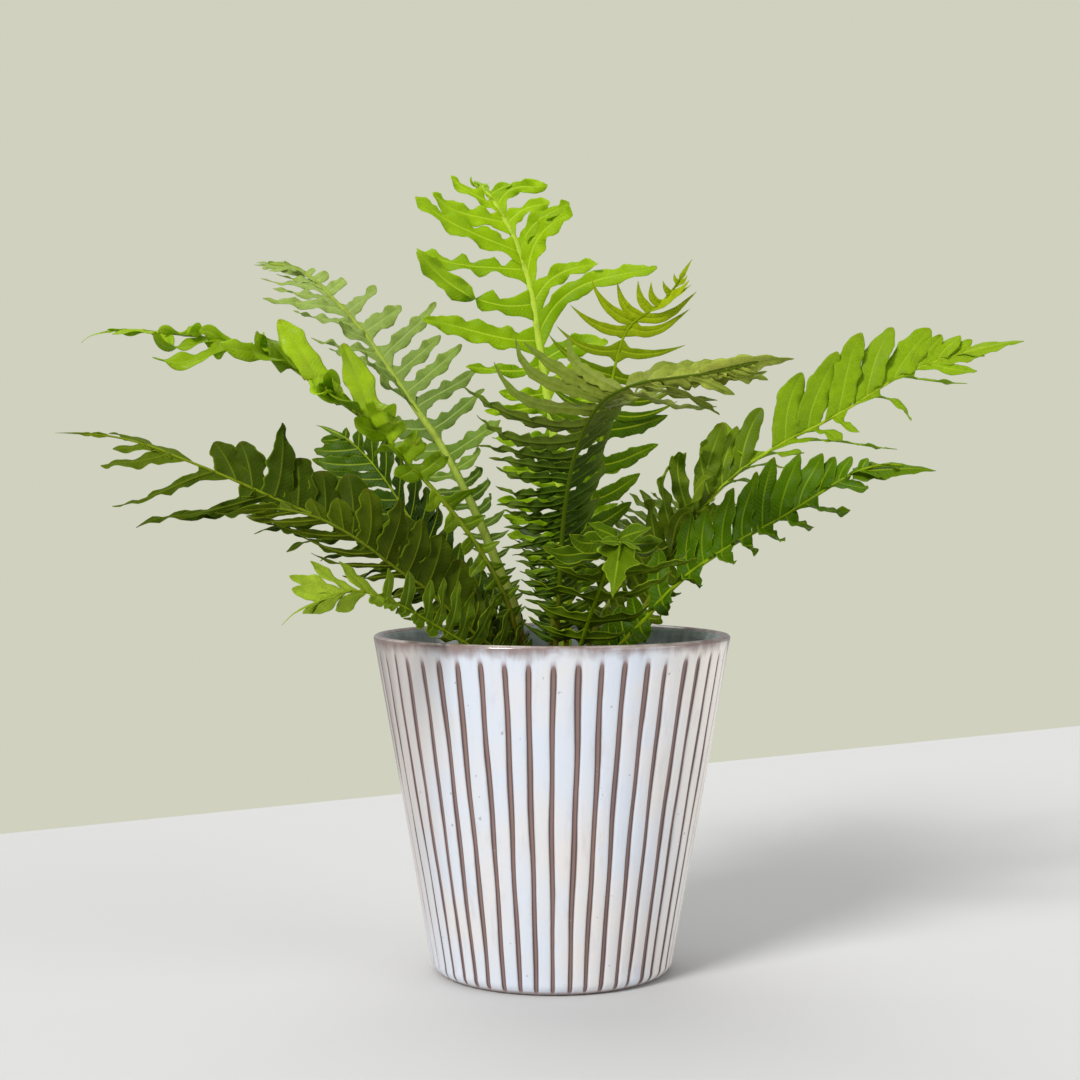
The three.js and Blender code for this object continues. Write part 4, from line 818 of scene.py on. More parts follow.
# ---------------------------------------------------------------- materials
class Nodes:
    """Small helpers to write a node tree as expressions."""

    def __init__(self, name):
        self.mat = bpy.data.materials.new(name)
        self.mat.use_nodes = True
        self.t = self.mat.node_tree
        self.t.nodes.clear()

    def node(self, kind, **props):
        n = self.t.nodes.new(kind)
        for k, x in props.items():
            setattr(n, k, x)
        return n

    def put(self, socket, value):
        if isinstance(value, bpy.types.NodeSocket):
            self.t.links.new(value, socket)
        elif value is not None:
            socket.default_value = value

    def attr(self, name):
        return self.node("ShaderNodeAttribute", attribute_name=name).outputs["Fac"]

    def math(self, op, a, b=None, c=None, clamp=False):
        n = self.node("ShaderNodeMath", operation=op, use_clamp=clamp)
        for i, x in enumerate((a, b, c)):
            if x is not None:
                self.put(n.inputs[i], x)
        return n.outputs[0]

    def mix(self, fac, a, b, blend="MIX"):
        n = self.node("ShaderNodeMix", data_type="RGBA", blend_type=blend)
        self.put(n.inputs[0], fac)
        self.put(n.inputs[6], a if isinstance(a, bpy.types.NodeSocket) else (*a, 1.0))
        self.put(n.inputs[7], b if isinstance(b, bpy.types.NodeSocket) else (*b, 1.0))
        return n.outputs[2]

    def noise(self, scale, detail=3.0, rough=0.5, vector=None, distortion=0.0, dims="3D", w=None):
        n = self.node("ShaderNodeTexNoise", noise_dimensions=dims)
        n.inputs["Scale"].default_value = scale
        n.inputs["Detail"].default_value = detail
        n.inputs["Roughness"].default_value = rough
        n.inputs["Distortion"].default_value = distortion
        if vector is not None:
            self.put(n.inputs["Vector"], vector)
        return n.outputs[0]

    def ramp(self, x, *stops, smooth_=True):
        """Eases x through (position, value) stops."""
        n = self.node("ShaderNodeMapRange", interpolation_type="SMOOTHSTEP" if smooth_ else "LINEAR", clamp=True)
        self.put(n.inputs["Value"], x)
        (a, p), (b, q) = stops
        n.inputs["From Min"].default_value, n.inputs["From Max"].default_value = a, b
        n.inputs["To Min"].default_value, n.inputs["To Max"].default_value = p, q
        return n.outputs["Result"]

    def objco(self, scale=None):
        o = self.node("ShaderNodeTexCoord").outputs["Object"]
        if scale is None:
            return o
        m = self.node("ShaderNodeMapping")
        self.put(m.inputs["Vector"], o)
        m.inputs["Scale"].default_value = scale
        return m.outputs[0]

    def combine(self, x, y, z):
        n = self.node("ShaderNodeCombineXYZ")
        for i, a in enumerate((x, y, z)):
            self.put(n.inputs[i], a)
        return n.outputs[0]

    def bump(self, height, strength, distance, normal=None):
        n = self.node("ShaderNodeBump")
        n.inputs["Strength"].default_value = strength
        n.inputs["Distance"].default_value = distance
        self.put(n.inputs["Height"], height)
        if normal is not None:
            self.put(n.inputs["Normal"], normal)
        return n.outputs[0]

    def surface(self, shader):
        out = self.node("ShaderNodeOutputMaterial")
        self.t.links.new(shader, out.inputs["Surface"])
        return self.mat


def srgb(h):
    """A colour as #RRGGBB to linear light."""
    c = [int(h[i : i + 2], 16) / 255 for i in (1, 3, 5)]
    return tuple(x / 12.92 if x <= 0.04045 else ((x + 0.055) / 1.055) ** 2.4 for x in c)


def leaf_material(name, look):
    n = Nodes(name)

    def pigment(h):
        """A leaf colour: chlorophyll holds back nearly all the blue."""
        r, g, b = srgb(h)
        return r, g, b * look["blue"]

    t, v, um, vm, side, rnd, fs, kind = (n.attr(k) for k in Shape.KEYS)
    absv = n.math("ABSOLUTE", v)
    absvm = n.math("ABSOLUTE", vm)
    oc = n.objco()
    big = n.noise(38.0, 2.0, 0.5, oc)
    fine = n.noise(420.0, 3.0, 0.6, oc)
    # colour from leaf to leaf and along the frond
    base = n.mix(n.ramp(n.math("ADD", big, n.math("MULTIPLY", rnd, look["vary"])), (0.40, 0.0), (0.60 + look["vary"], 1.0)), pigment(look["deep"]), pigment(look["green"]))
    base = n.mix(n.math("MULTIPLY", n.ramp(fs, (look["young_from"], 0.0), (1.0, 1.0)), look["young"], clamp=True), base, pigment(look["tipcol"]))
    # the pinnae turn paler towards their tips: partly the leaves' own paler tone, partly painted light on the outer
    # parts while the parts near the rachis keep a shaded look
    base = n.mix(n.math("MULTIPLY", n.ramp(t, (0.30, 0.0), (0.95, 1.0)), look["outer_mix"]), base, pigment(look["outer"]))
    # painted shade: each frond darkens towards its foot, where the middle of the plant lies in shade; foot is the shade
    # colour and shade its strength
    base = n.mix(n.math("MULTIPLY", n.ramp(fs, (0.05, 1.0), (look["foot_shade_to"], 0.0)), look["shade"], clamp=True), base, pigment(look["foot"]))
    # veins run from the midrib out to the margin
    lane = n.math("SUBTRACT", um, n.math("MULTIPLY", absvm, 0.62))
    lane = n.math("ADD", lane, n.math("MULTIPLY", n.noise(120.0, 3.0, 0.6, oc), 1.6))
    vein = n.math("COSINE", n.math("MULTIPLY", lane, 2 * math.pi / 1.7))
    vein = n.ramp(vein, (0.45, 0.0), (1.0, 1.0))
    vein = n.math("MULTIPLY", vein, n.ramp(n.noise(90.0, 2.0, 0.5, oc), (0.35, 0.25), (0.65, 1.0)))
    vein = n.math("MULTIPLY", vein, n.ramp(absv, (0.80, 1.0), (1.0, 0.0)))
    lamina = n.ramp(kind, (0.4, 1.0), (0.6, 0.0))
    vein = n.math("MULTIPLY", vein, lamina)
    col = n.mix(n.math("MULTIPLY", vein, look["vein"]), base, pigment(look["rib"]))
    # the underside colour: mostly the leaves' own paler underside, but where a frond sets it darker than its upper face
    # it is painted shade
    under = n.mix(0.5, pigment(look["under"]), col)
    col = n.mix(n.math("MULTIPLY", side, look["under_mix"]), col, under)
    # fine mottling, pale midrib, and a painted highlight along the margin
    col = n.mix(n.ramp(fine, (0.3, 0.22), (0.7, 0.0)), col, pigment(look["deep"]))
    rib = n.math("MULTIPLY", n.ramp(absvm, (0.14, 1.0), (0.46, 0.0)), n.ramp(t, (0.45, 1.0), (1.0, 0.15)))
    rib = n.math("MULTIPLY", rib, lamina)
    col = n.mix(n.math("MULTIPLY", rib, look["rib_mix"]), col, pigment(look["rib"]))
    # painted highlight: the edge colour runs along each pinna's margin, where light catches it
    edge = n.math("MULTIPLY", n.math("MULTIPLY", n.ramp(absv, (0.86, 0.0), (0.99, 1.0)), lamina), look["edge_highlight_mix"])
    col = n.mix(edge, col, pigment(look["edge"]))
    # dry brown flecks, and browned tips where the look asks for them
    fleck = n.ramp(n.noise(95.0, 4.0, 0.7, oc), (0.70, 0.0), (0.78, 1.0))
    col = n.mix(n.math("MULTIPLY", fleck, look["fleck"]), col, pigment("#6E5A28"))
    burn = n.math("MULTIPLY", n.ramp(n.math("ADD", t, n.math("MULTIPLY", big, 0.12)), (0.965, 0.0), (1.03, 1.0)), look["burn"])
    col = n.mix(burn, col, pigment("#7A5A30"))
    # rachis: pale green, browner and darker to its foot
    stem = n.mix(n.ramp(fs, (0.02, 0.0), (0.30, 1.0)), pigment(look["stem_foot"]), pigment(look["stem"]))
    stem = n.mix(n.ramp(n.noise(260.0, 4.0, 0.6, n.objco((1, 1, 0.18))), (0.45, 0.0), (0.75, 0.45)), stem, pigment("#5A5A22"))
    col = n.mix(n.ramp(kind, (0.4, 0.0), (0.6, 1.0)), col, stem)
    scale = n.mix(rnd, pigment("#3A2413"), pigment("#7A5632"))
    col = n.mix(n.ramp(kind, (1.4, 0.0), (1.6, 1.0)), col, scale)
    rough = n.ramp(fine, (0.25, look["rough"] - 0.07), (0.8, look["rough"] + 0.12))
    height = n.math("ADD", n.math("MULTIPLY", vein, -0.5), n.math("MULTIPLY", fine, 0.35))
    normal = n.bump(height, 0.55, 0.00022)
    p = n.node("ShaderNodeBsdfPrincipled")
    n.put(p.inputs["Base Color"], col)
    n.put(p.inputs["Roughness"], rough)
    n.put(p.inputs["Normal"], normal)
    p.inputs["IOR"].default_value = 1.42
    p.inputs["Specular IOR Level"].default_value = look["spec"]
    tr = n.node("ShaderNodeBsdfTranslucent")
    through = n.mix(0.45, n.mix(1.0, col, pigment(look["through"]), "MULTIPLY"), pigment(look["through"]))
    through = n.mix(n.ramp(kind, (0.4, 0.0), (0.6, 1.0)), through, stem)
    n.put(tr.inputs["Color"], through)
    n.put(tr.inputs["Normal"], normal)
    m = n.node("ShaderNodeMixShader")
    m.inputs[0].default_value = look["translucent"]
    n.t.links.new(p.outputs[0], m.inputs[1])
    n.t.links.new(tr.outputs[0], m.inputs[2])
    return n.surface(m.outputs[0])


# ---------------------------------------------------------------- the pot
def wall_radius(z):
    return BASE_RADIUS + (RIM_RADIUS - BASE_RADIUS) * (z - FOOT_ROUND) / (POT_HEIGHT - FOOT_ROUND)


def pot_object(material):
    """The fluted cachepot as one closed turned skin: outside, lip, inside, and a foot ring underneath."""
    rng = np.random.default_rng(11)
    per = 16
    cols = RIBS * per
    a = np.arange(cols) / cols * 2 * np.pi
    # the profile: radius, height, zone (0 outside, 1 lip, 2 inside, 3 underside)
    prof = [(0.0, 0.9, 3), (20, 0.9, 3), (36, 0.9, 3), (39.2, 0.8, 3), (40.2, 0.0, 3), (43.0, 0.0, 3), (FOOT_RADIUS, 0.0, 3)]
    for k in np.linspace(0.12, 1, 9):
        ang = k * math.pi / 2
        # the rounded foot corner
        r = FOOT_RADIUS + (wall_radius(FOOT_ROUND) - FOOT_RADIUS) * math.sin(ang)
        prof.append((r, FOOT_ROUND * (1 - math.cos(ang)), 0))
    zs = np.concatenate([np.linspace(FOOT_ROUND + 2.5, 124, 46), np.linspace(126, POT_HEIGHT - 2.2, 16)])
    prof += [(wall_radius(z), z, 0) for z in zs]
    lip = POT_HEIGHT
    prof += [(RIM_RADIUS - 0.22, lip - 1.35, 0), (RIM_RADIUS - 0.55, lip - 0.62, 1), (RIM_RADIUS - 1.15, lip - 0.15, 1), (RIM_RADIUS - 2.0, lip, 1), (RIM_RADIUS - 2.9, lip - 0.12, 1), (RIM_RADIUS - 3.75, lip - 0.7, 1), (RIM_RADIUS - 4.35, lip - 1.7, 2)]
    for z in np.concatenate([np.linspace(lip - 3.2, lip - 30, 22), np.linspace(lip - 36, 14, 14)]):
        prof.append((wall_radius(z) - WALL, z, 2))
    prof += [(wall_radius(9.5) - WALL - 1.6, 9.6, 2), (wall_radius(8) - WALL - 5, 7.4, 2), (34, 7.0, 2), (16, 7.0, 2), (0.0, 7.0, 2)]
    rows = len(prof)
    # each groove has its own wander, width, depth and starting height
    g_phase, g_width = rng.random(RIBS) * 6.283, 1 + 0.16 * (rng.random(RIBS) - 0.5)
    g_depth, g_top = 1 + 0.22 * (rng.random(RIBS) - 0.5), rng.normal(size=RIBS) * 0.9
    g_shift = rng.normal(size=RIBS) * 0.035
    pitch = 2 * np.pi / RIBS
    verts, groove, fine, zone, hgt, ang_at = [], [], [], [], [], []
    for r, z, kind in prof:
        k = a / pitch
        idx = np.floor(k + 0.5).astype(int) % RIBS
        local = (k - np.floor(k + 0.5)) * 1.0
        wander = g_shift[idx] + 0.030 * np.sin(z / 19.0 + g_phase[idx]) + 0.014 * np.sin(z / 7.0 + 2 * g_phase[idx])
        d = np.abs(local - wander)
        w = 0.132 * g_width[idx] * (1 + 0.10 * np.sin(z / 11 + 3 * g_phase[idx]))
        cut = 1 - smooth(d, w * 0.35, w * 1.55)
        bulge = 0.46 * np.sin(np.pi * np.clip(np.abs(local), 0, 0.5))
        top = POT_HEIGHT - 3.4 + g_top[idx]
        fade = 1 - smooth(z, top - 8.5, top + 1.6)
        low = smooth(z, 0.2, 3.0)
        if kind == 0:
            depth = 0.66 * g_depth[idx] * cut * fade * low
            lump = 0.10 * np.sin(3 * a + z / 23) + 0.07 * np.sin(7 * a - z / 31)
            rr = r - depth - (0.46 - bulge) * fade * low + lump * smooth(z, 1, 6) * (1 - smooth(z, lip - 5, lip - 1))
        elif kind == 2 and r > 30:
            rr = r + 0.10 * np.sin(z / 1.9) + 0.08 * np.sin(2 * a + z / 9) + 0 * a
        else:
            rr = r + 0 * a
        zz = z + 0.0 * a
        if kind == 1:
            zz = z - 0.10 * (1 + np.sin(4 * a + 0.6)) / 2
        verts.append(np.stack([rr * np.sin(a), -rr * np.cos(a), zz], 1))
        groove.append(cut * fade * low if kind == 0 else 0 * a)
        fine.append(local - wander)
        zone.append(0 * a + kind)
        hgt.append(0 * a + z)
        ang_at.append(k)
    shape = Shape(("groove", "zone", "hgt", "rib", "band"))
    first, last = verts[0][0] * 0 + [0, 0, prof[0][1]], verts[-1][0] * 0 + [0, 0, prof[-1][1]]
    ring = np.concatenate(verts[1:-1])
    n = rows - 2
    i, j = np.meshgrid(np.arange(n - 1), np.arange(cols), indexing="ij")
    p, q = (i * cols + j).reshape(-1), (i * cols + (j + 1) % cols).reshape(-1)
    quads = np.stack([p, q, q + cols, p + cols], 1)
    j = np.arange(cols)
    cap0 = np.stack([np.full(cols, n * cols), (j + 1) % cols, j], 1)
    top = (n - 1) * cols
    cap1 = np.stack([np.full(cols, n * cols + 1), top + j, top + (j + 1) % cols], 1)
    flat = lambda rows_: np.concatenate([np.concatenate(rows_[1:-1]), [rows_[0][0], rows_[-1][0]]])
    seed = (np.sin(np.floor(np.array(ang_at) + 0.5) * 12.9898) * 43758.5453) % 1
    shape.add(np.concatenate([ring, [first], [last]]), quads, groove=flat(groove), zone=flat(zone), hgt=flat(hgt), rib=flat(fine), band=flat(list(seed)))
    shape.faces += [cap0, cap1]
    return shape.object("cachepot_glazed", material)


def glaze_material():
    n = Nodes("reactive_glaze")
    groove, zone, hgt, rib, band = (n.attr(k) for k in ("groove", "zone", "hgt", "rib", "band"))
    oc = n.objco()
    tall = n.objco((1, 1, 0.16))
    big = n.noise(26.0, 3.0, 0.55, oc)
    streak = n.noise(240.0, 4.0, 0.6, tall)
    fine = n.noise(900.0, 3.0, 0.6, oc)
    # white glaze on the ribs, cooler where it is thick
    white = n.mix(n.ramp(big, (0.35, 0.0), (0.68, 1.0)), srgb("#CBD2DE"), srgb("#D4D1D0"))
    # painted shade on the pot's left side and painted light on its right, set by the object's x; both sides turn warm,
    # leaving the cooler front as a painted sky reflection
    turn = n.node("ShaderNodeSeparateXYZ")
    n.put(turn.inputs[0], oc)
    white = n.mix(n.ramp(turn.outputs[0], (-0.072, 1.0), (-0.034, 0.0)), white, srgb("#B0A8A2"))
    white = n.mix(n.ramp(turn.outputs[0], (0.030, 0.0), (0.068, 0.9)), white, srgb("#EEE6DC"))
    white = n.mix(n.ramp(streak, (0.50, 0.0), (0.80, 0.35)), white, srgb("#B4B6C2"))
    # the glaze breaks to brown where it is thin: in the grooves, with a lilac halo
    wet = n.math("ADD", groove, n.math("MULTIPLY", n.math("SUBTRACT", streak, 0.5), 0.42))
    wet = n.math("ADD", wet, n.math("MULTIPLY", n.math("SUBTRACT", big, 0.5), 0.25))
    halo = n.ramp(wet, (0.04, 0.0), (0.50, 1.0))
    core = n.ramp(wet, (0.36, 0.0), (0.62, 1.0))
    brown = n.mix(streak, srgb("#664840"), srgb("#8C6A60"))
    # painted shade: a near-black band down the walls of each groove, where the groove lies in shade
    off = n.math("ABSOLUTE", rib)
    groove_wall_shade = n.math("MULTIPLY", n.ramp(off, (0.045, 0.0), (0.085, 1.0)), n.ramp(off, (0.13, 1.0), (0.17, 0.0)))
    brown = n.mix(n.math("MULTIPLY", groove_wall_shade, 0.9), brown, srgb("#2C1C18"))
    col = n.mix(n.math("MULTIPLY", halo, 0.66), white, srgb("#A3949A"))
    col = n.mix(n.math("MULTIPLY", core, 0.92), col, brown)
    outside = n.ramp(zone, (0.1, 1.0), (0.6, 0.0))
    # a plain band under the lip, mauve to brown at its very edge
    h1 = n.math("ADD", hgt, n.math("MULTIPLY", n.math("SUBTRACT", streak, 0.5), 5.0))
    h1 = n.math("ADD", h1, n.math("MULTIPLY", n.math("SUBTRACT", n.noise(75.0, 4.0, 0.6, oc), 0.5), 7.0))
    lipband = n.ramp(h1, (POT_HEIGHT - 6.5, 0.0), (POT_HEIGHT - 0.6, 1.0))
    col = n.mix(n.math("MULTIPLY", lipband, 0.95), col, srgb("#7E6A66"))
    # thin brown line where the glaze pulls back from the foot
    foot = n.ramp(n.math("ADD", hgt, n.math("MULTIPLY", n.math("SUBTRACT", big, 0.5), 1.6)), (0.9, 1.0), (2.4, 0.0))
    col = n.mix(n.math("MULTIPLY", foot, 0.8), col, srgb("#8A7266"))
    # inside: grey-blue with darker mottling
    inside = n.mix(n.ramp(n.noise(60.0, 5.0, 0.65, oc), (0.35, 0.0), (0.7, 1.0)), srgb("#7E8A8A"), srgb("#A8B3B2"))
    inside = n.mix(n.ramp(streak, (0.4, 0.0), (0.8, 0.5)), inside, srgb("#B4BBBB"))
    col = n.mix(n.ramp(zone, (1.4, 0.0), (1.6, 1.0)), col, inside)
    lip = n.mix(n.ramp(n.noise(70.0, 4.0, 0.6, oc), (0.4, 0.0), (0.65, 1.0)), srgb("#A79C97"), srgb("#77655D"))
    islip = n.math("MULTIPLY", n.ramp(zone, (0.5, 0.0), (0.9, 1.0)), n.ramp(zone, (1.1, 1.0), (1.6, 0.0)))
    col = n.mix(islip, col, lip)
    clay = n.mix(n.ramp(n.noise(300.0, 4.0, 0.6, oc), (0.3, 0.0), (0.7, 1.0)), srgb("#B9A48E"), srgb("#CDBBA6"))
    under = n.ramp(zone, (2.4, 0.0), (2.6, 1.0))
    col = n.mix(under, col, clay)
    # specks
    speck = n.ramp(n.noise(330.0, 2.0, 0.4, oc), (0.735, 0.0), (0.765, 1.0))
    col = n.mix(n.math("MULTIPLY", speck, 0.55), col, srgb("#8F857F"))
    pin = n.ramp(fine, (0.73, 0.0), (0.78, 0.5))
    col = n.mix(pin, col, srgb("#A9A6A8"))
    rough = n.ramp(n.math("ADD", n.math("MULTIPLY", core, 0.5), n.math("MULTIPLY", fine, 0.5)), (0.2, 0.16), (0.9, 0.34))
    rough = n.math("ADD", rough, n.math("MULTIPLY", under, 0.5), clamp=True)
    height = n.math("ADD", n.math("MULTIPLY", n.noise(120.0, 3.0, 0.5, oc), 1.0), n.math("MULTIPLY", fine, 0.12))
    height = n.math("SUBTRACT", height, n.math("MULTIPLY", speck, 0.3))
    p = n.node("ShaderNodeBsdfPrincipled")
    n.put(p.inputs["Base Color"], col)
    n.put(p.inputs["Roughness"], rough)
    n.put(p.inputs["Normal"], n.bump(height, 0.35, 0.0004))
    p.inputs["IOR"].default_value = 1.5
    p.inputs["Specular IOR Level"].default_value = 0.5
    p.inputs["Coat Weight"].default_value = 0.35
    p.inputs["Coat Roughness"].default_value = 0.08
    return n.surface(p.outputs[0])


# ---------------------------------------------------------------- soil and crown
def value_noise(x, y, seed, cell):
    """Smooth repeatable noise over a plane, -1 to 1."""
    rng = np.random.default_rng(seed)
    g = rng.random((64, 64)) * 2 - 1
    u, w = np.asarray(x) / cell + 200, np.asarray(y) / cell + 200
    i, j = np.floor(u).astype(int), np.floor(w).astype(int)
    fu, fw = u - i, w - j
    fu, fw = fu * fu * (3 - 2 * fu), fw * fw * (3 - 2 * fw)
    c = lambda p, q: g[p % 64, q % 64]
    return (c(i, j) * (1 - fu) + c(i + 1, j) * fu) * (1 - fw) + (c(i, j + 1) * (1 - fu) + c(i + 1, j + 1) * fu) * fw


ICO = None


def chunk(shape, rng, centre, size, flat, **attrs):
    """A small angular lump: a jittered icosahedron."""
    global ICO
    if ICO is None:
        g = (1 + 5**0.5) / 2
        v = unit(np.array([(-1, g, 0), (1, g, 0), (-1, -g, 0), (1, -g, 0), (0, -1, g), (0, 1, g), (0, -1, -g), (0, 1, -g), (g, 0, -1), (g, 0, 1), (-g, 0, -1), (-g, 0, 1)]))
        f = np.array([(0, 11, 5), (0, 5, 1), (0, 1, 7), (0, 7, 10), (0, 10, 11), (1, 5, 9), (5, 11, 4), (11, 10, 2), (10, 7, 6), (7, 1, 8), (3, 9, 4), (3, 4, 2), (3, 2, 6), (3, 6, 8), (3, 8, 9), (4, 9, 5), (2, 4, 11), (6, 2, 10), (8, 6, 7), (9, 8, 1)])
        ICO = (v, f)
    v, f = ICO
    v = v * (0.72 + 0.5 * rng.random((12, 1))) * size * np.array([1.0, 0.55 + 0.5 * rng.random(), flat])
    e = Euler((rng.random() * 0.7, rng.random() * 0.7, rng.random() * 6.283)).to_matrix()
    v = v @ np.array(e).T + centre
    shape.add(v, f, **attrs)


def soil_object(material):
    """Moist potting mix: a lumpy root ball with bark and a few grains of perlite on its top."""
    shape = Shape(("rnd", "kind"))
    rng = np.random.default_rng(5)
    cols = 120
    a = np.arange(cols) / cols * 2 * np.pi
    inner = lambda z: wall_radius(z) - WALL - 0.5
    prof = [(inner(7.5) - 7, 7.6), (inner(14), 14.0), (inner(60), 60.0), (inner(100), 100.0), (inner(SOIL_TOP - 3), SOIL_TOP - 3.2), (inner(SOIL_TOP) - 0.5, SOIL_TOP - 1.6)]
    rings = [np.stack([r * np.sin(a), -r * np.cos(a), np.full(cols, z)], 1) for r, z in prof]
    edge = inner(SOIL_TOP) - 0.5
    for r in np.linspace(edge - 1.2, 2.0, 34):
        x, y = r * np.sin(a), -r * np.cos(a)
        z = SOIL_TOP - 0.6 + 1.0 * (1 - (r / edge) ** 2) + 0.9 * value_noise(x, y, 1, 7.0) + 0.55 * value_noise(x, y, 2, 2.6)
        z = np.minimum(z, SOIL_TOP + 1.6)
        rings.append(np.stack([x, y, z], 1))
    n = len(rings)
    ring = np.concatenate(rings)
    i, j = np.meshgrid(np.arange(n - 1), np.arange(cols), indexing="ij")
    p, q = (i * cols + j).reshape(-1), (i * cols + (j + 1) % cols).reshape(-1)
    j = np.arange(cols)
    top = (n - 1) * cols
    shape.add(np.concatenate([ring, [[0, 0, 7.6]], [[0, 0, SOIL_TOP + 0.6]]]), np.stack([p, q, q + cols, p + cols], 1), rnd=0.5, kind=0.0)
    shape.faces += [np.stack([np.full(cols, n * cols), (j + 1) % cols, j], 1), np.stack([np.full(cols, n * cols + 1), top + j, top + (j + 1) % cols], 1)]
    for k in range(760):
        r, t = 64.0 * math.sqrt(rng.random()), rng.random() * 6.283
        if r > edge - 3:
            continue
        kind = rng.random()
        size = 0.8 + 2.2 * rng.random() ** 2.2
        white = kind > 0.955
        if white:
            size = 0.8 + rng.random() * 0.7
        chunk(shape, rng, np.array([r * math.cos(t), r * math.sin(t), SOIL_TOP - 0.1 + (0.2 if white else 0.0)]), size, 0.45 if kind < 0.5 else 0.8, rnd=rng.random(), kind=2.0 if white else 1.0)
    return shape.object("potting_mix", material)


def soil_material():
    n = Nodes("potting_mix")
    rnd, kind = n.attr("rnd"), n.attr("kind")
    oc = n.objco()
    a, b = n.noise(180.0, 6.0, 0.7, oc), n.noise(1100.0, 4.0, 0.7, oc)
    col = n.mix(n.ramp(a, (0.3, 0.0), (0.75, 1.0)), srgb("#1B120C"), srgb("#48341F"))
    bark = n.mix(rnd, srgb("#2A1A10"), srgb("#6B4A2C"))
    bark = n.mix(n.ramp(b, (0.4, 0.0), (0.7, 0.6)), bark, srgb("#2A1C12"))
    col = n.mix(n.ramp(kind, (0.4, 0.0), (0.6, 1.0)), col, bark)
    white = n.mix(n.ramp(b, (0.3, 0.0), (0.7, 1.0)), srgb("#C9C4B8"), srgb("#ECEAE3"))
    col = n.mix(n.ramp(kind, (1.4, 0.0), (1.6, 1.0)), col, white)
    p = n.node("ShaderNodeBsdfPrincipled")
    n.put(p.inputs["Base Color"], col)
    n.put(p.inputs["Roughness"], n.ramp(a, (0.3, 0.72), (0.8, 1.0)))
    n.put(p.inputs["Normal"], n.bump(n.math("ADD", a, n.math("MULTIPLY", b, 0.5)), 0.9, 0.0012))
    p.inputs["Specular IOR Level"].default_value = 0.25
    return n.surface(p.outputs[0])


def crown_object(material):
    """The short upright rhizome: a knobbly stump under a thatch of dark papery scales."""
    shape = Shape(("rnd", "kind"))
    rng = np.random.default_rng(8)
    cols = 64
    a = np.arange(cols) / cols * 2 * np.pi
    prof = [(CROWN_RADIUS * 0.6, 98.2), (CROWN_RADIUS * 0.9, 107), (CROWN_RADIUS * 0.97, 113), (CROWN_RADIUS * 0.97, 117), (CROWN_RADIUS * 0.93, 120), (CROWN_RADIUS * 0.82, 122.6), (CROWN_RADIUS * 0.66, 124.6), (CROWN_RADIUS * 0.45, 125.8), (CROWN_RADIUS * 0.2, 126.4)]
    rings = []
    for r, z in prof:
        x, y = np.sin(a), -np.cos(a)
        rr = r + 0.8 * value_noise(a * 9, np.full(cols, z), 3, 2.0) * (z > 110)
        rings.append(np.stack([rr * x, rr * y, np.full(cols, z) + 0.4 * value_noise(rr * x, rr * y, 4, 3.0) * (z > 118)], 1))
    n = len(rings)
    i, j = np.meshgrid(np.arange(n - 1), np.arange(cols), indexing="ij")
    p, q = (i * cols + j).reshape(-1), (i * cols + (j + 1) % cols).reshape(-1)
    j = np.arange(cols)
    top = (n - 1) * cols
    shape.add(np.concatenate(rings + [[[0, 0, 98.2]], [[0, 0, 126.6]]]), np.stack([p, q, q + cols, p + cols], 1), rnd=0.3, kind=0.0)
    shape.faces += [np.stack([np.full(cols, n * cols), (j + 1) % cols, j], 1), np.stack([np.full(cols, n * cols + 1), top + j, top + (j + 1) % cols], 1)]
    for _ in range(620):
        r, t = CROWN_RADIUS * 0.98 * math.sqrt(rng.random()), rng.random() * 6.283
        z = 126.2 - 8.2 * (r / CROWN_RADIUS) ** 3.2
        out = np.array([math.cos(t), math.sin(t), 0])
        c = out * r + np.array([0, 0, z])
        lean = 0.35 + 1.1 * (r / CROWN_RADIUS)
        scale_blade(shape, rng, c - np.array([0, 0, 0.6]), out * lean + np.array([0, 0, 1.0]) + rng.normal(size=3) * 0.25, out + rng.normal(size=3) * 0.2, 3.0 + rng.random() * 4.0, 0.8 + rng.random() * 1.0, rnd=rng.random(), kind=1.0)
    return shape.object("crown_scaly", material)


def crown_material():
    n = Nodes("rhizome_scales")
    rnd, kind = n.attr("rnd"), n.attr("kind")
    oc = n.objco()
    a = n.noise(500.0, 5.0, 0.7, n.objco((1, 1, 0.3)))
    col = n.mix(rnd, srgb("#2B1A0F"), srgb("#7B5530"))
    col = n.mix(n.ramp(a, (0.35, 0.0), (0.75, 0.6)), col, srgb("#20140B"))
    body = n.mix(n.noise(200.0, 4.0, 0.6, oc), srgb("#2C1C10"), srgb("#54401F"))
    col = n.mix(n.ramp(kind, (0.4, 0.0), (0.6, 1.0)), body, col)
    p = n.node("ShaderNodeBsdfPrincipled")
    n.put(p.inputs["Base Color"], col)
    n.put(p.inputs["Roughness"], n.ramp(a, (0.3, 0.5), (0.8, 0.8)))
    n.put(p.inputs["Normal"], n.bump(a, 0.6, 0.0005))
    p.inputs["Specular IOR Level"].default_value = 0.3
    return n.surface(p.outputs[0])


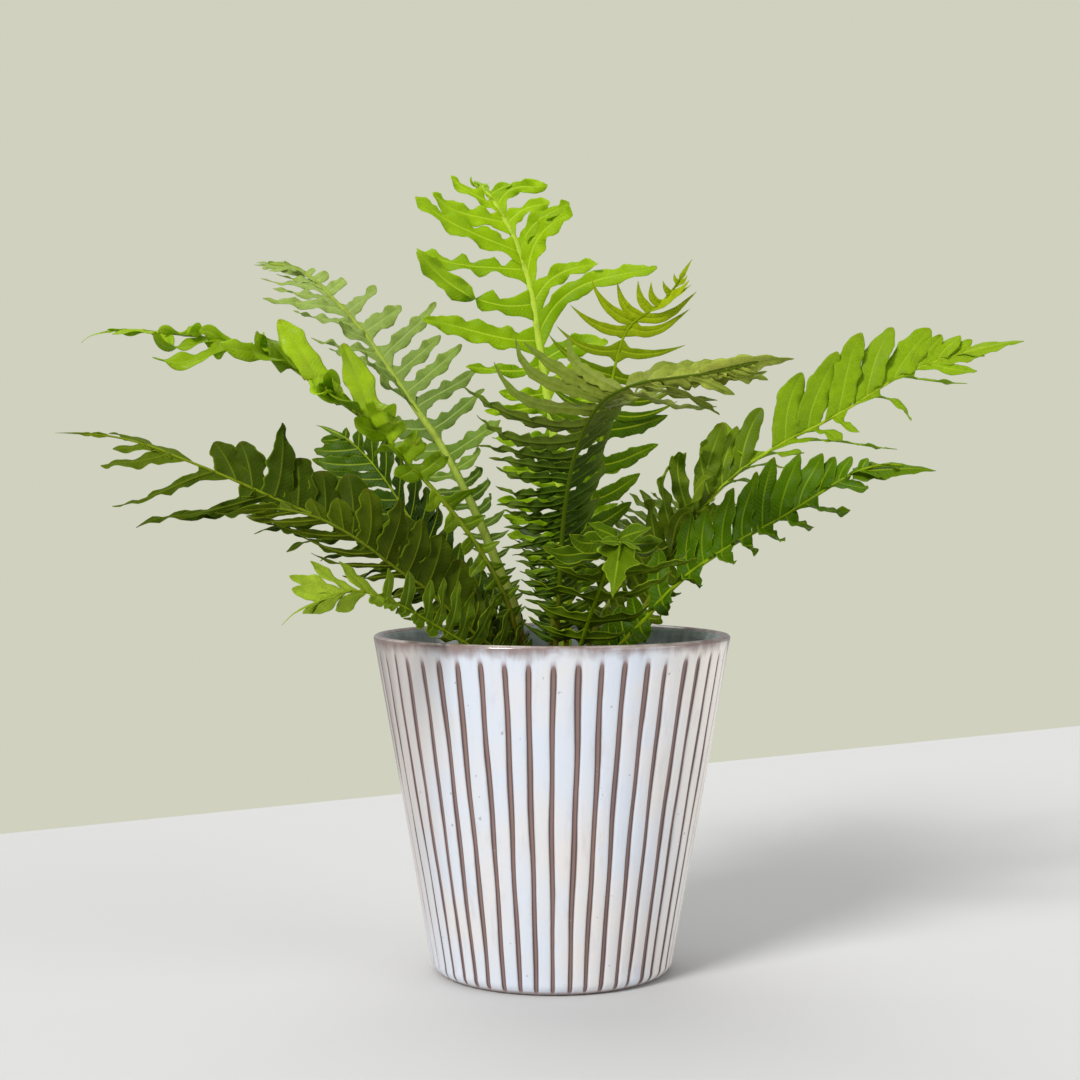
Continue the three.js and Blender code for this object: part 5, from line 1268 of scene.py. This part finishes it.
# ---------------------------------------------------------------- the looks of each frond
LOOK = dict(
    # geometry, mm and radians
    bow=0.10, sway=0.05, arch=0.05, curl=0.40, curl_from=0.40, coil=0.0, coil_from=0.45, twist=0.40, tilt=0.20, lean=0.0,
    turn=0.0, turn_from=0.2, turn_to=0.7, uneven=0.08, share=0.98, join=1.0, stem_scale=0.85,
    tip0=0.50, tp=1.7, tq=0.70, wave=0.9, wave_mm=11.0, scallop=0.12, cup=0.16, fold=0.02, quilt=0.05,
    # outer and its mix: the pinna tips' paler colour, partly own tone and partly painted light
    blue=0.2, vary=0.25, outer="#88A040", outer_mix=0.1, foot_shade_to=0.45, end_wave=0.3, end_curl=0.3, end_arch=0.0,
    end=0.6, end_back=9.0, end_tip0=0.12, end_tp=1.1, end_tq=0.9, end_scallop=0.16,
    # colours; foot and shade give the painted shade on the lower part of each frond
    green="#668E00", deep="#426400", tipcol="#90AE20", young=0.5, young_from=0.55, foot="#2C4400", shade=0.55,
    # edge is the colour of the painted highlight along the pinna margins
    under="#748E34", under_mix=0.6, rib="#A9BE50", rib_mix=0.55, vein=0.14, edge="#94AE34", edge_highlight_mix=0.35,
    stem="#8FA62C", stem_foot="#54481A", fleck=0.2, burn=0.15, rough=0.46, spec=0.18, through="#A4D000", translucent=0.32,
)
# each frond's greens are partly its own tone and partly painted light and shade: fronds lying in the plant's shade are
# set dark, top-lit and backlit ones bright
LOOKS = {
    "frond_back_tall": dict(
        gap=15, wave=2.4, wave_mm=14, scallop=0.2, share=0.86, tip0=0.55, tp=2, tq=0.6, sway=0.12, curl=0.5, twist=0.6, tilt=0.3, green="#AACA18",
        deep="#76A000", tipcol="#B8DC30", young=0.4, rib="#D4E86C", rib_mix=0.7, vein=0.2, through="#D8F400", translucent=0.46, stem="#D2EC78",
        uneven=0.1, foot="#4A7A00", edge="#BCD83C", spec=0.14, end=0.4, stem_scale=1.45, width=9.4,
        special=[(0, 0.5, 0, dict(gap=10.5, wide=0.72)), (0.5, 1, 0, dict(tilt=0.35, twist=0.7))], outer="#C0DC48", outer_mix=0.35, burn=0.03,
        fleck=0.08, blue=0.4, stem_foot="#A4C44C", vary=0.45, foot_shade_to=0.7,
    ),
    "frond_front_arching": dict(
        gap=6.6, wave=1.3, wave_mm=9.5, scallop=0.2, share=0.8, tip0=0.45, tp=1.3, green="#284400", deep="#152900", tipcol="#CCD892", young=1,
        young_from=0.42, under="#3E5810", under_mix=0.6, rib="#6C8430", rib_mix=0.4, through="#68980A", translucent=0.22, foot="#1E3400", arch=0.12,
        stem="#4E6414", curl=0.8, curl_from=0.25, sway=0.08, stem_scale=0.62, edge="#7C923C", edge_highlight_mix=0.5, end=1.6, end_back=22, end_tip0=0.3,
        width=5.2, outer="#7C9452", outer_mix=0.7, end_wave=0.5, bow=0.14, spec=0.1, rough=0.5, end_tp=1.5,
        special=[(0.25, 0.62, -1, dict(width=6.8, wave=0.8)), (0.1, 0.62, 1, dict(width=6, wave=1.6, scallop=0.22, long=1.16)), (0.62, 1, 0, dict(lean=0.9, wave=0.8))],
        blue=0.35,
    ),
    "frond_young": dict(
        gap=8.6, wave=0.4, wave_mm=9, scallop=0.05, share=0.74, green="#527200", deep="#365200", tipcol="#C8D83C", young=0.95, young_from=0.62,
        rib="#B0C450", through="#B6DC00", translucent=0.36, bow=0.26, tip0=0.22, tp=1.1, tq=0.9, join=0.95, stem="#8EAA18", end=0.3, end_back=4,
        tilt=0.12, twist=0.2, width=5, special=[(0, 0.62, 0, dict(gap=13, wide=1.5, bow=0.12, tip0=0.5, tp=1.6, tq=0.7, wave=0.8, scallop=0.12))],
        fleck=0, burn=0, end_wave=0.1, end_scallop=0.1, spec=0.1,
    ),
    "frond_right_upper": dict(
        gap=13, wave=0.9, wave_mm=14, scallop=0.1, share=0.98, tip0=0.62, tp=2.2, tq=0.72, green="#8EB022", deep="#5C7626", tipcol="#A2C42A",
        young=0.5, under="#98B048", under_mix=0.7, rib="#B4CC58", rib_mix=0.55, through="#B4E000", translucent=0.36, bow=0.12, stem="#B4CC50",
        end=0.85, end_back=24, stem_scale=0.7,
        special=[(0.3, 1, -1, dict(lean=-0.8, wave=1, wide=0.7)), (0, 0.5, 0, dict(twist=1.6, tilt=0.9, curl=1.6, curl_from=0.2, wide=0.75, gap=9, wave=1.8, scallop=0.16))],
        width=10.5, end_tip0=0.02, end_scallop=0.2, end_tp=1.5, blue=0.35, foot="#545A10", shade=0.75, foot_shade_to=0.62, spec=0.12, vary=0.75,
    ),
    "frond_right_lower": dict(
        gap=11, wave=0.8, wave_mm=12, scallop=0.09, share=1.02, tip0=0.55, tp=1.7, tq=0.75, green="#507604", deep="#3C6000", tipcol="#608608",
        young=0.4, rib="#A2BC40", rib_mix=0.45, through="#80B400", translucent=0.28, rough=0.4, bow=0.1, stem="#8CA828", end=0.95, end_back=20,
        stem_scale=0.75, special=[(0, 1, -1, dict(lean=-0.75, wave=1.5, twist=0.8, wide=0.9, long=0.9))], width=10, end_tip0=0.02, end_tp=1.4,
        spec=0.1, foot="#1E3600", foot_shade_to=0.5, shade=0.85,
    ),
    "frond_front_drooping": dict(
        gap=9.5, wave=1.1, wave_mm=12, scallop=0.13, share=0.92, tip0=0.35, tp=1.4, green="#2C4600", deep="#203800", tipcol="#6E9020", rib="#98B04C",
        edge="#9CB450", edge_highlight_mix=0.7, through="#80AC00", translucent=0.24, end=1.7, end_back=10, end_tip0=0.05, end_tp=1.2, end_tq=1, end_scallop=0.3,
        stem_scale=0.65, stem="#6E8A1C", width=6.4, twist=0.6, tilt=0.35, sway=0.09, curl=0.7, end_up=(0, -1, 0.3), end_wave=0.6, spec=0.08,
    ),
    "frond_left_long": dict(
        gap=13, wave=1.5, wave_mm=19, scallop=0.12, share=0.95, tip0=0.5, tp=1.7, tq=0.6, green="#D4F450", deep="#7C9E18", tipcol="#A8C030", twist=1.1,
        tilt=0.5, cup=0.42, rough=0.32, spec=0.2, through="#D8F81C", translucent=0.42, uneven=0.14, burn=0.4, curl=1.3, curl_from=0.3, join=0.85,
        stem_scale=0.75, end=0.16, end_back=7,
        special=[(0, 0.46, 0, dict(wide=0.6, curl=1.5, curl_from=0.15, wave=1.4, twist=1.1, tip0=0.3, tp=1.2, long=0.72, tilt=0.6, gap=9))], shade=1,
        # this dark underside colour is painted shade on undersides turned from the light
        under_mix=0.85, foot="#2A4600", foot_shade_to=0.8, under="#5A7810", end_wave=0.15, end_curl=2, outer="#C4E048", outer_mix=0.2, vary=0.8, young=0.3,
        blue=0.35,
    ),
    "frond_back_left": dict(
        gap=16, wave=1.1, wave_mm=11, scallop=0.2, share=0.86, tip0=0.62, tp=1.8, tq=0.6, green="#7A9A42", deep="#3E5E14", tipcol="#C0D692", young=0.7,
        young_from=0.3, rib="#B8CE84", under="#94AC62", through="#A0C428", translucent=0.3, rough=0.42, stem="#A6BC58", scales=60, end=0.26, bow=0.05,
        special=[(0, 0.42, 0, dict(gap=9, long=0.8, wide=0.5, curl=1.6, curl_from=0.2, twist=0.8, tip0=0.35, tp=1.3)), (0.42, 0.75, -1, dict(long=1.1, wide=0.85, gap=13))],
        width=9.6, outer="#A0B864", outer_mix=0.3, stem_scale=1.5, blue=0.62, spec=0.12, vary=0.7, stem_pow=0.45, end_back=20, end_tip0=0.05,
        end_tp=1.1,
    ),
    "frond_left_dark": dict(
        gap=13, wave=1.3, wave_mm=13, scallop=0.18, share=1.25, tip0=0.58, tp=1.7, tq=0.6, green="#2C4200", deep="#182C00", tipcol="#7E9640",
        young=0.8, young_from=0.6, rib="#70803A", rib_mix=0.6, under="#56683C", through="#6C9400", translucent=0.22, stem="#7C8E40", stem_scale=0.7,
        end=0.12, end_back=6,
        special=[(0.3, 1, -1, dict(wide=0.42, sway=0.16, turn=1.2, wave=1.2, wave_mm=18, tip0=0.4, curl=0.8, join=0.7)), (0, 0.3, 0, dict(wide=0.6, wave=1.6, gap=9, tip0=0.4, twist=0.8, curl=0.9))],
        spec=0.06, rough=0.55, outer="#4A5E10", outer_mix=0.3, foot="#142200", shade=0.9, foot_shade_to=0.6, vary=0.5,
    ),
    "frond_left_low": dict(
        gap=13, wave=1.2, wave_mm=12, scallop=0.18, share=1.08, tip0=0.6, tp=1.9, tq=0.65, green="#2A3C00", deep="#182600", tipcol="#627624",
        rib="#7C8A3C", under="#5E7030", through="#769000", translucent=0.24, stem="#70823A", stem_scale=0.7,
        special=[(0.3, 1, -1, dict(wide=0.45, sway=0.14, turn=1.1, tip0=0.7, curl=0.8, join=0.7)), (0, 0.32, 0, dict(wide=0.6, wave=1.6, gap=8.5, tip0=0.4, twist=0.8, curl=0.9))],
        spec=0.06, rough=0.55, foot="#1C2A00", shade=0.7,
    ),
    "frond_low_splayed": dict(
        gap=8.5, wave=1.3, wave_mm=12, share=0.92, green="#5E7A14", deep="#3C5204", tipcol="#B0CC5C", young=0.95, young_from=0.6, rib="#9CB25A",
        through="#A0CC14", translucent=0.32, end=0.8, end_back=10, stem_scale=0.75, foot="#2A3400",
        special=[(0, 0.5, -1, dict(long=0.3)), (0.5, 1, -1, dict(long=0.9)), (0.6, 1, 1, dict(wide=1.25, wave=0.7))], width=5.4, scallop=0.2,
        edge="#A4BE4C", edge_highlight_mix=0.6, spec=0.1, twist=0.6, blue=0.35, shade=0.8, foot_shade_to=0.6,
    ),
    "frond_back_low_left": dict(
        gap=8.5, green="#305000", deep="#1A3200", tipcol="#567C0A", through="#70A200", translucent=0.26, share=0.92, end=0.5, width=8.2, wave=1.4,
        scallop=0.14,
    ),
    "frond_back_right": dict(
        gap=10, green="#5C720A", deep="#3E5404", through="#9CB400", width=6.5,
    ),
    "frond_back_low": dict(
        gap=10, green="#2E4C00", deep="#1A3200", through="#6C9400", width=6.5,
    ),
}


# ---------------------------------------------------------------- build
pieces = []
for k, f in enumerate(FRONDS):
    look = {**LOOK, **LOOKS.get(f["name"], {})}
    piece = frond_shape(f, look, 100 + k).object(f["name"].replace("frond", "leaf"), leaf_material(f["name"].replace("frond", "leaf"), look))
    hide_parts(f["name"])
    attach(piece, "root")
    pieces.append(piece)

for piece, node, slot in (
    (pot_object(glaze_material()), "cache_pot", "glazed_ceramic"),
    (soil_object(soil_material()), "potting_soil", "potting_mix"),
    (crown_object(crown_material()), "crown", "rhizome"),
):
    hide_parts(node)
    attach(piece, "root")


# ---------------------------------------------------------------- floor, light, camera
def floor():
    """A pale sweep whose far edge runs at a slant behind the pot."""
    far = [(-3.0, -1.538), (3.0, 2.646)]
    verts = [(-3.0, -4.0, 0), (3.0, -4.0, 0), (far[1][0], far[1][1], 0), (far[0][0], far[0][1], 0)]
    mesh = bpy.data.meshes.new("studio_floor")
    mesh.from_pydata(verts, [], [(0, 1, 2, 3)])
    n = Nodes("studio_floor")
    p = n.node("ShaderNodeBsdfPrincipled")
    p.inputs["Base Color"].default_value = (0.572, 0.572, 0.580, 1)
    p.inputs["Roughness"].default_value = 0.9
    p.inputs["Specular IOR Level"].default_value = 0.1
    mesh.materials.append(n.surface(p.outputs[0]))
    o = bpy.data.objects.new("studio_floor", mesh)
    bpy.context.scene.collection.objects.link(o)


floor()


def sun(name, origin, strength, degrees, colour):
    """Broad even light from the direction of origin."""
    d = bpy.data.lights.new(name, "SUN")
    d.energy, d.angle, d.color = strength, math.radians(degrees), colour
    o = bpy.data.objects.new(name, d)
    o.location = Vector(origin).normalized() * 2
    o.rotation_euler = Vector(origin).to_track_quat("Z", "Y").to_euler()
    bpy.context.scene.collection.objects.link(o)


sun("key", (-0.58, -0.78, 0.66), 3.15, 18, (1.0, 0.99, 0.96))
sun("fill", (0.92, -0.52, 0.14), 1.75, 60, (1.0, 0.98, 0.96))
sun("top", (-0.15, 0.50, 1.0), 1.45, 50, (1.0, 1.0, 0.95))

world = bpy.data.worlds.new("studio")
bpy.context.scene.world = world
world.use_nodes = True
wt = world.node_tree
wt.nodes.clear()
seen, lit = wt.nodes.new("ShaderNodeBackground"), wt.nodes.new("ShaderNodeBackground")
seen.inputs["Color"].default_value = (*srgb("#D0D1BF"), 1)
lit.inputs["Color"].default_value = (0.97, 0.99, 1.0, 1)
lit.inputs["Strength"].default_value = 0.28
path, mixer, out = wt.nodes.new("ShaderNodeLightPath"), wt.nodes.new("ShaderNodeMixShader"), wt.nodes.new("ShaderNodeOutputWorld")
wt.links.new(path.outputs["Is Camera Ray"], mixer.inputs[0])
wt.links.new(lit.outputs[0], mixer.inputs[1])
wt.links.new(seen.outputs[0], mixer.inputs[2])
wt.links.new(mixer.outputs[0], out.inputs["Surface"])

cam = bpy.data.objects.new("camera", bpy.data.cameras.new("camera"))
cam.data.sensor_width, cam.data.lens = 36.0, 63.51
cam.location = (-0.00502, -0.80105, 0.1948)
cam.rotation_euler = (math.radians(90) - 0.01788, 0, 0)
bpy.context.scene.collection.objects.link(cam)
bpy.context.scene.camera = cam
bpy.context.scene.view_settings.view_transform = "Standard"

bpy.context.view_layer.update()
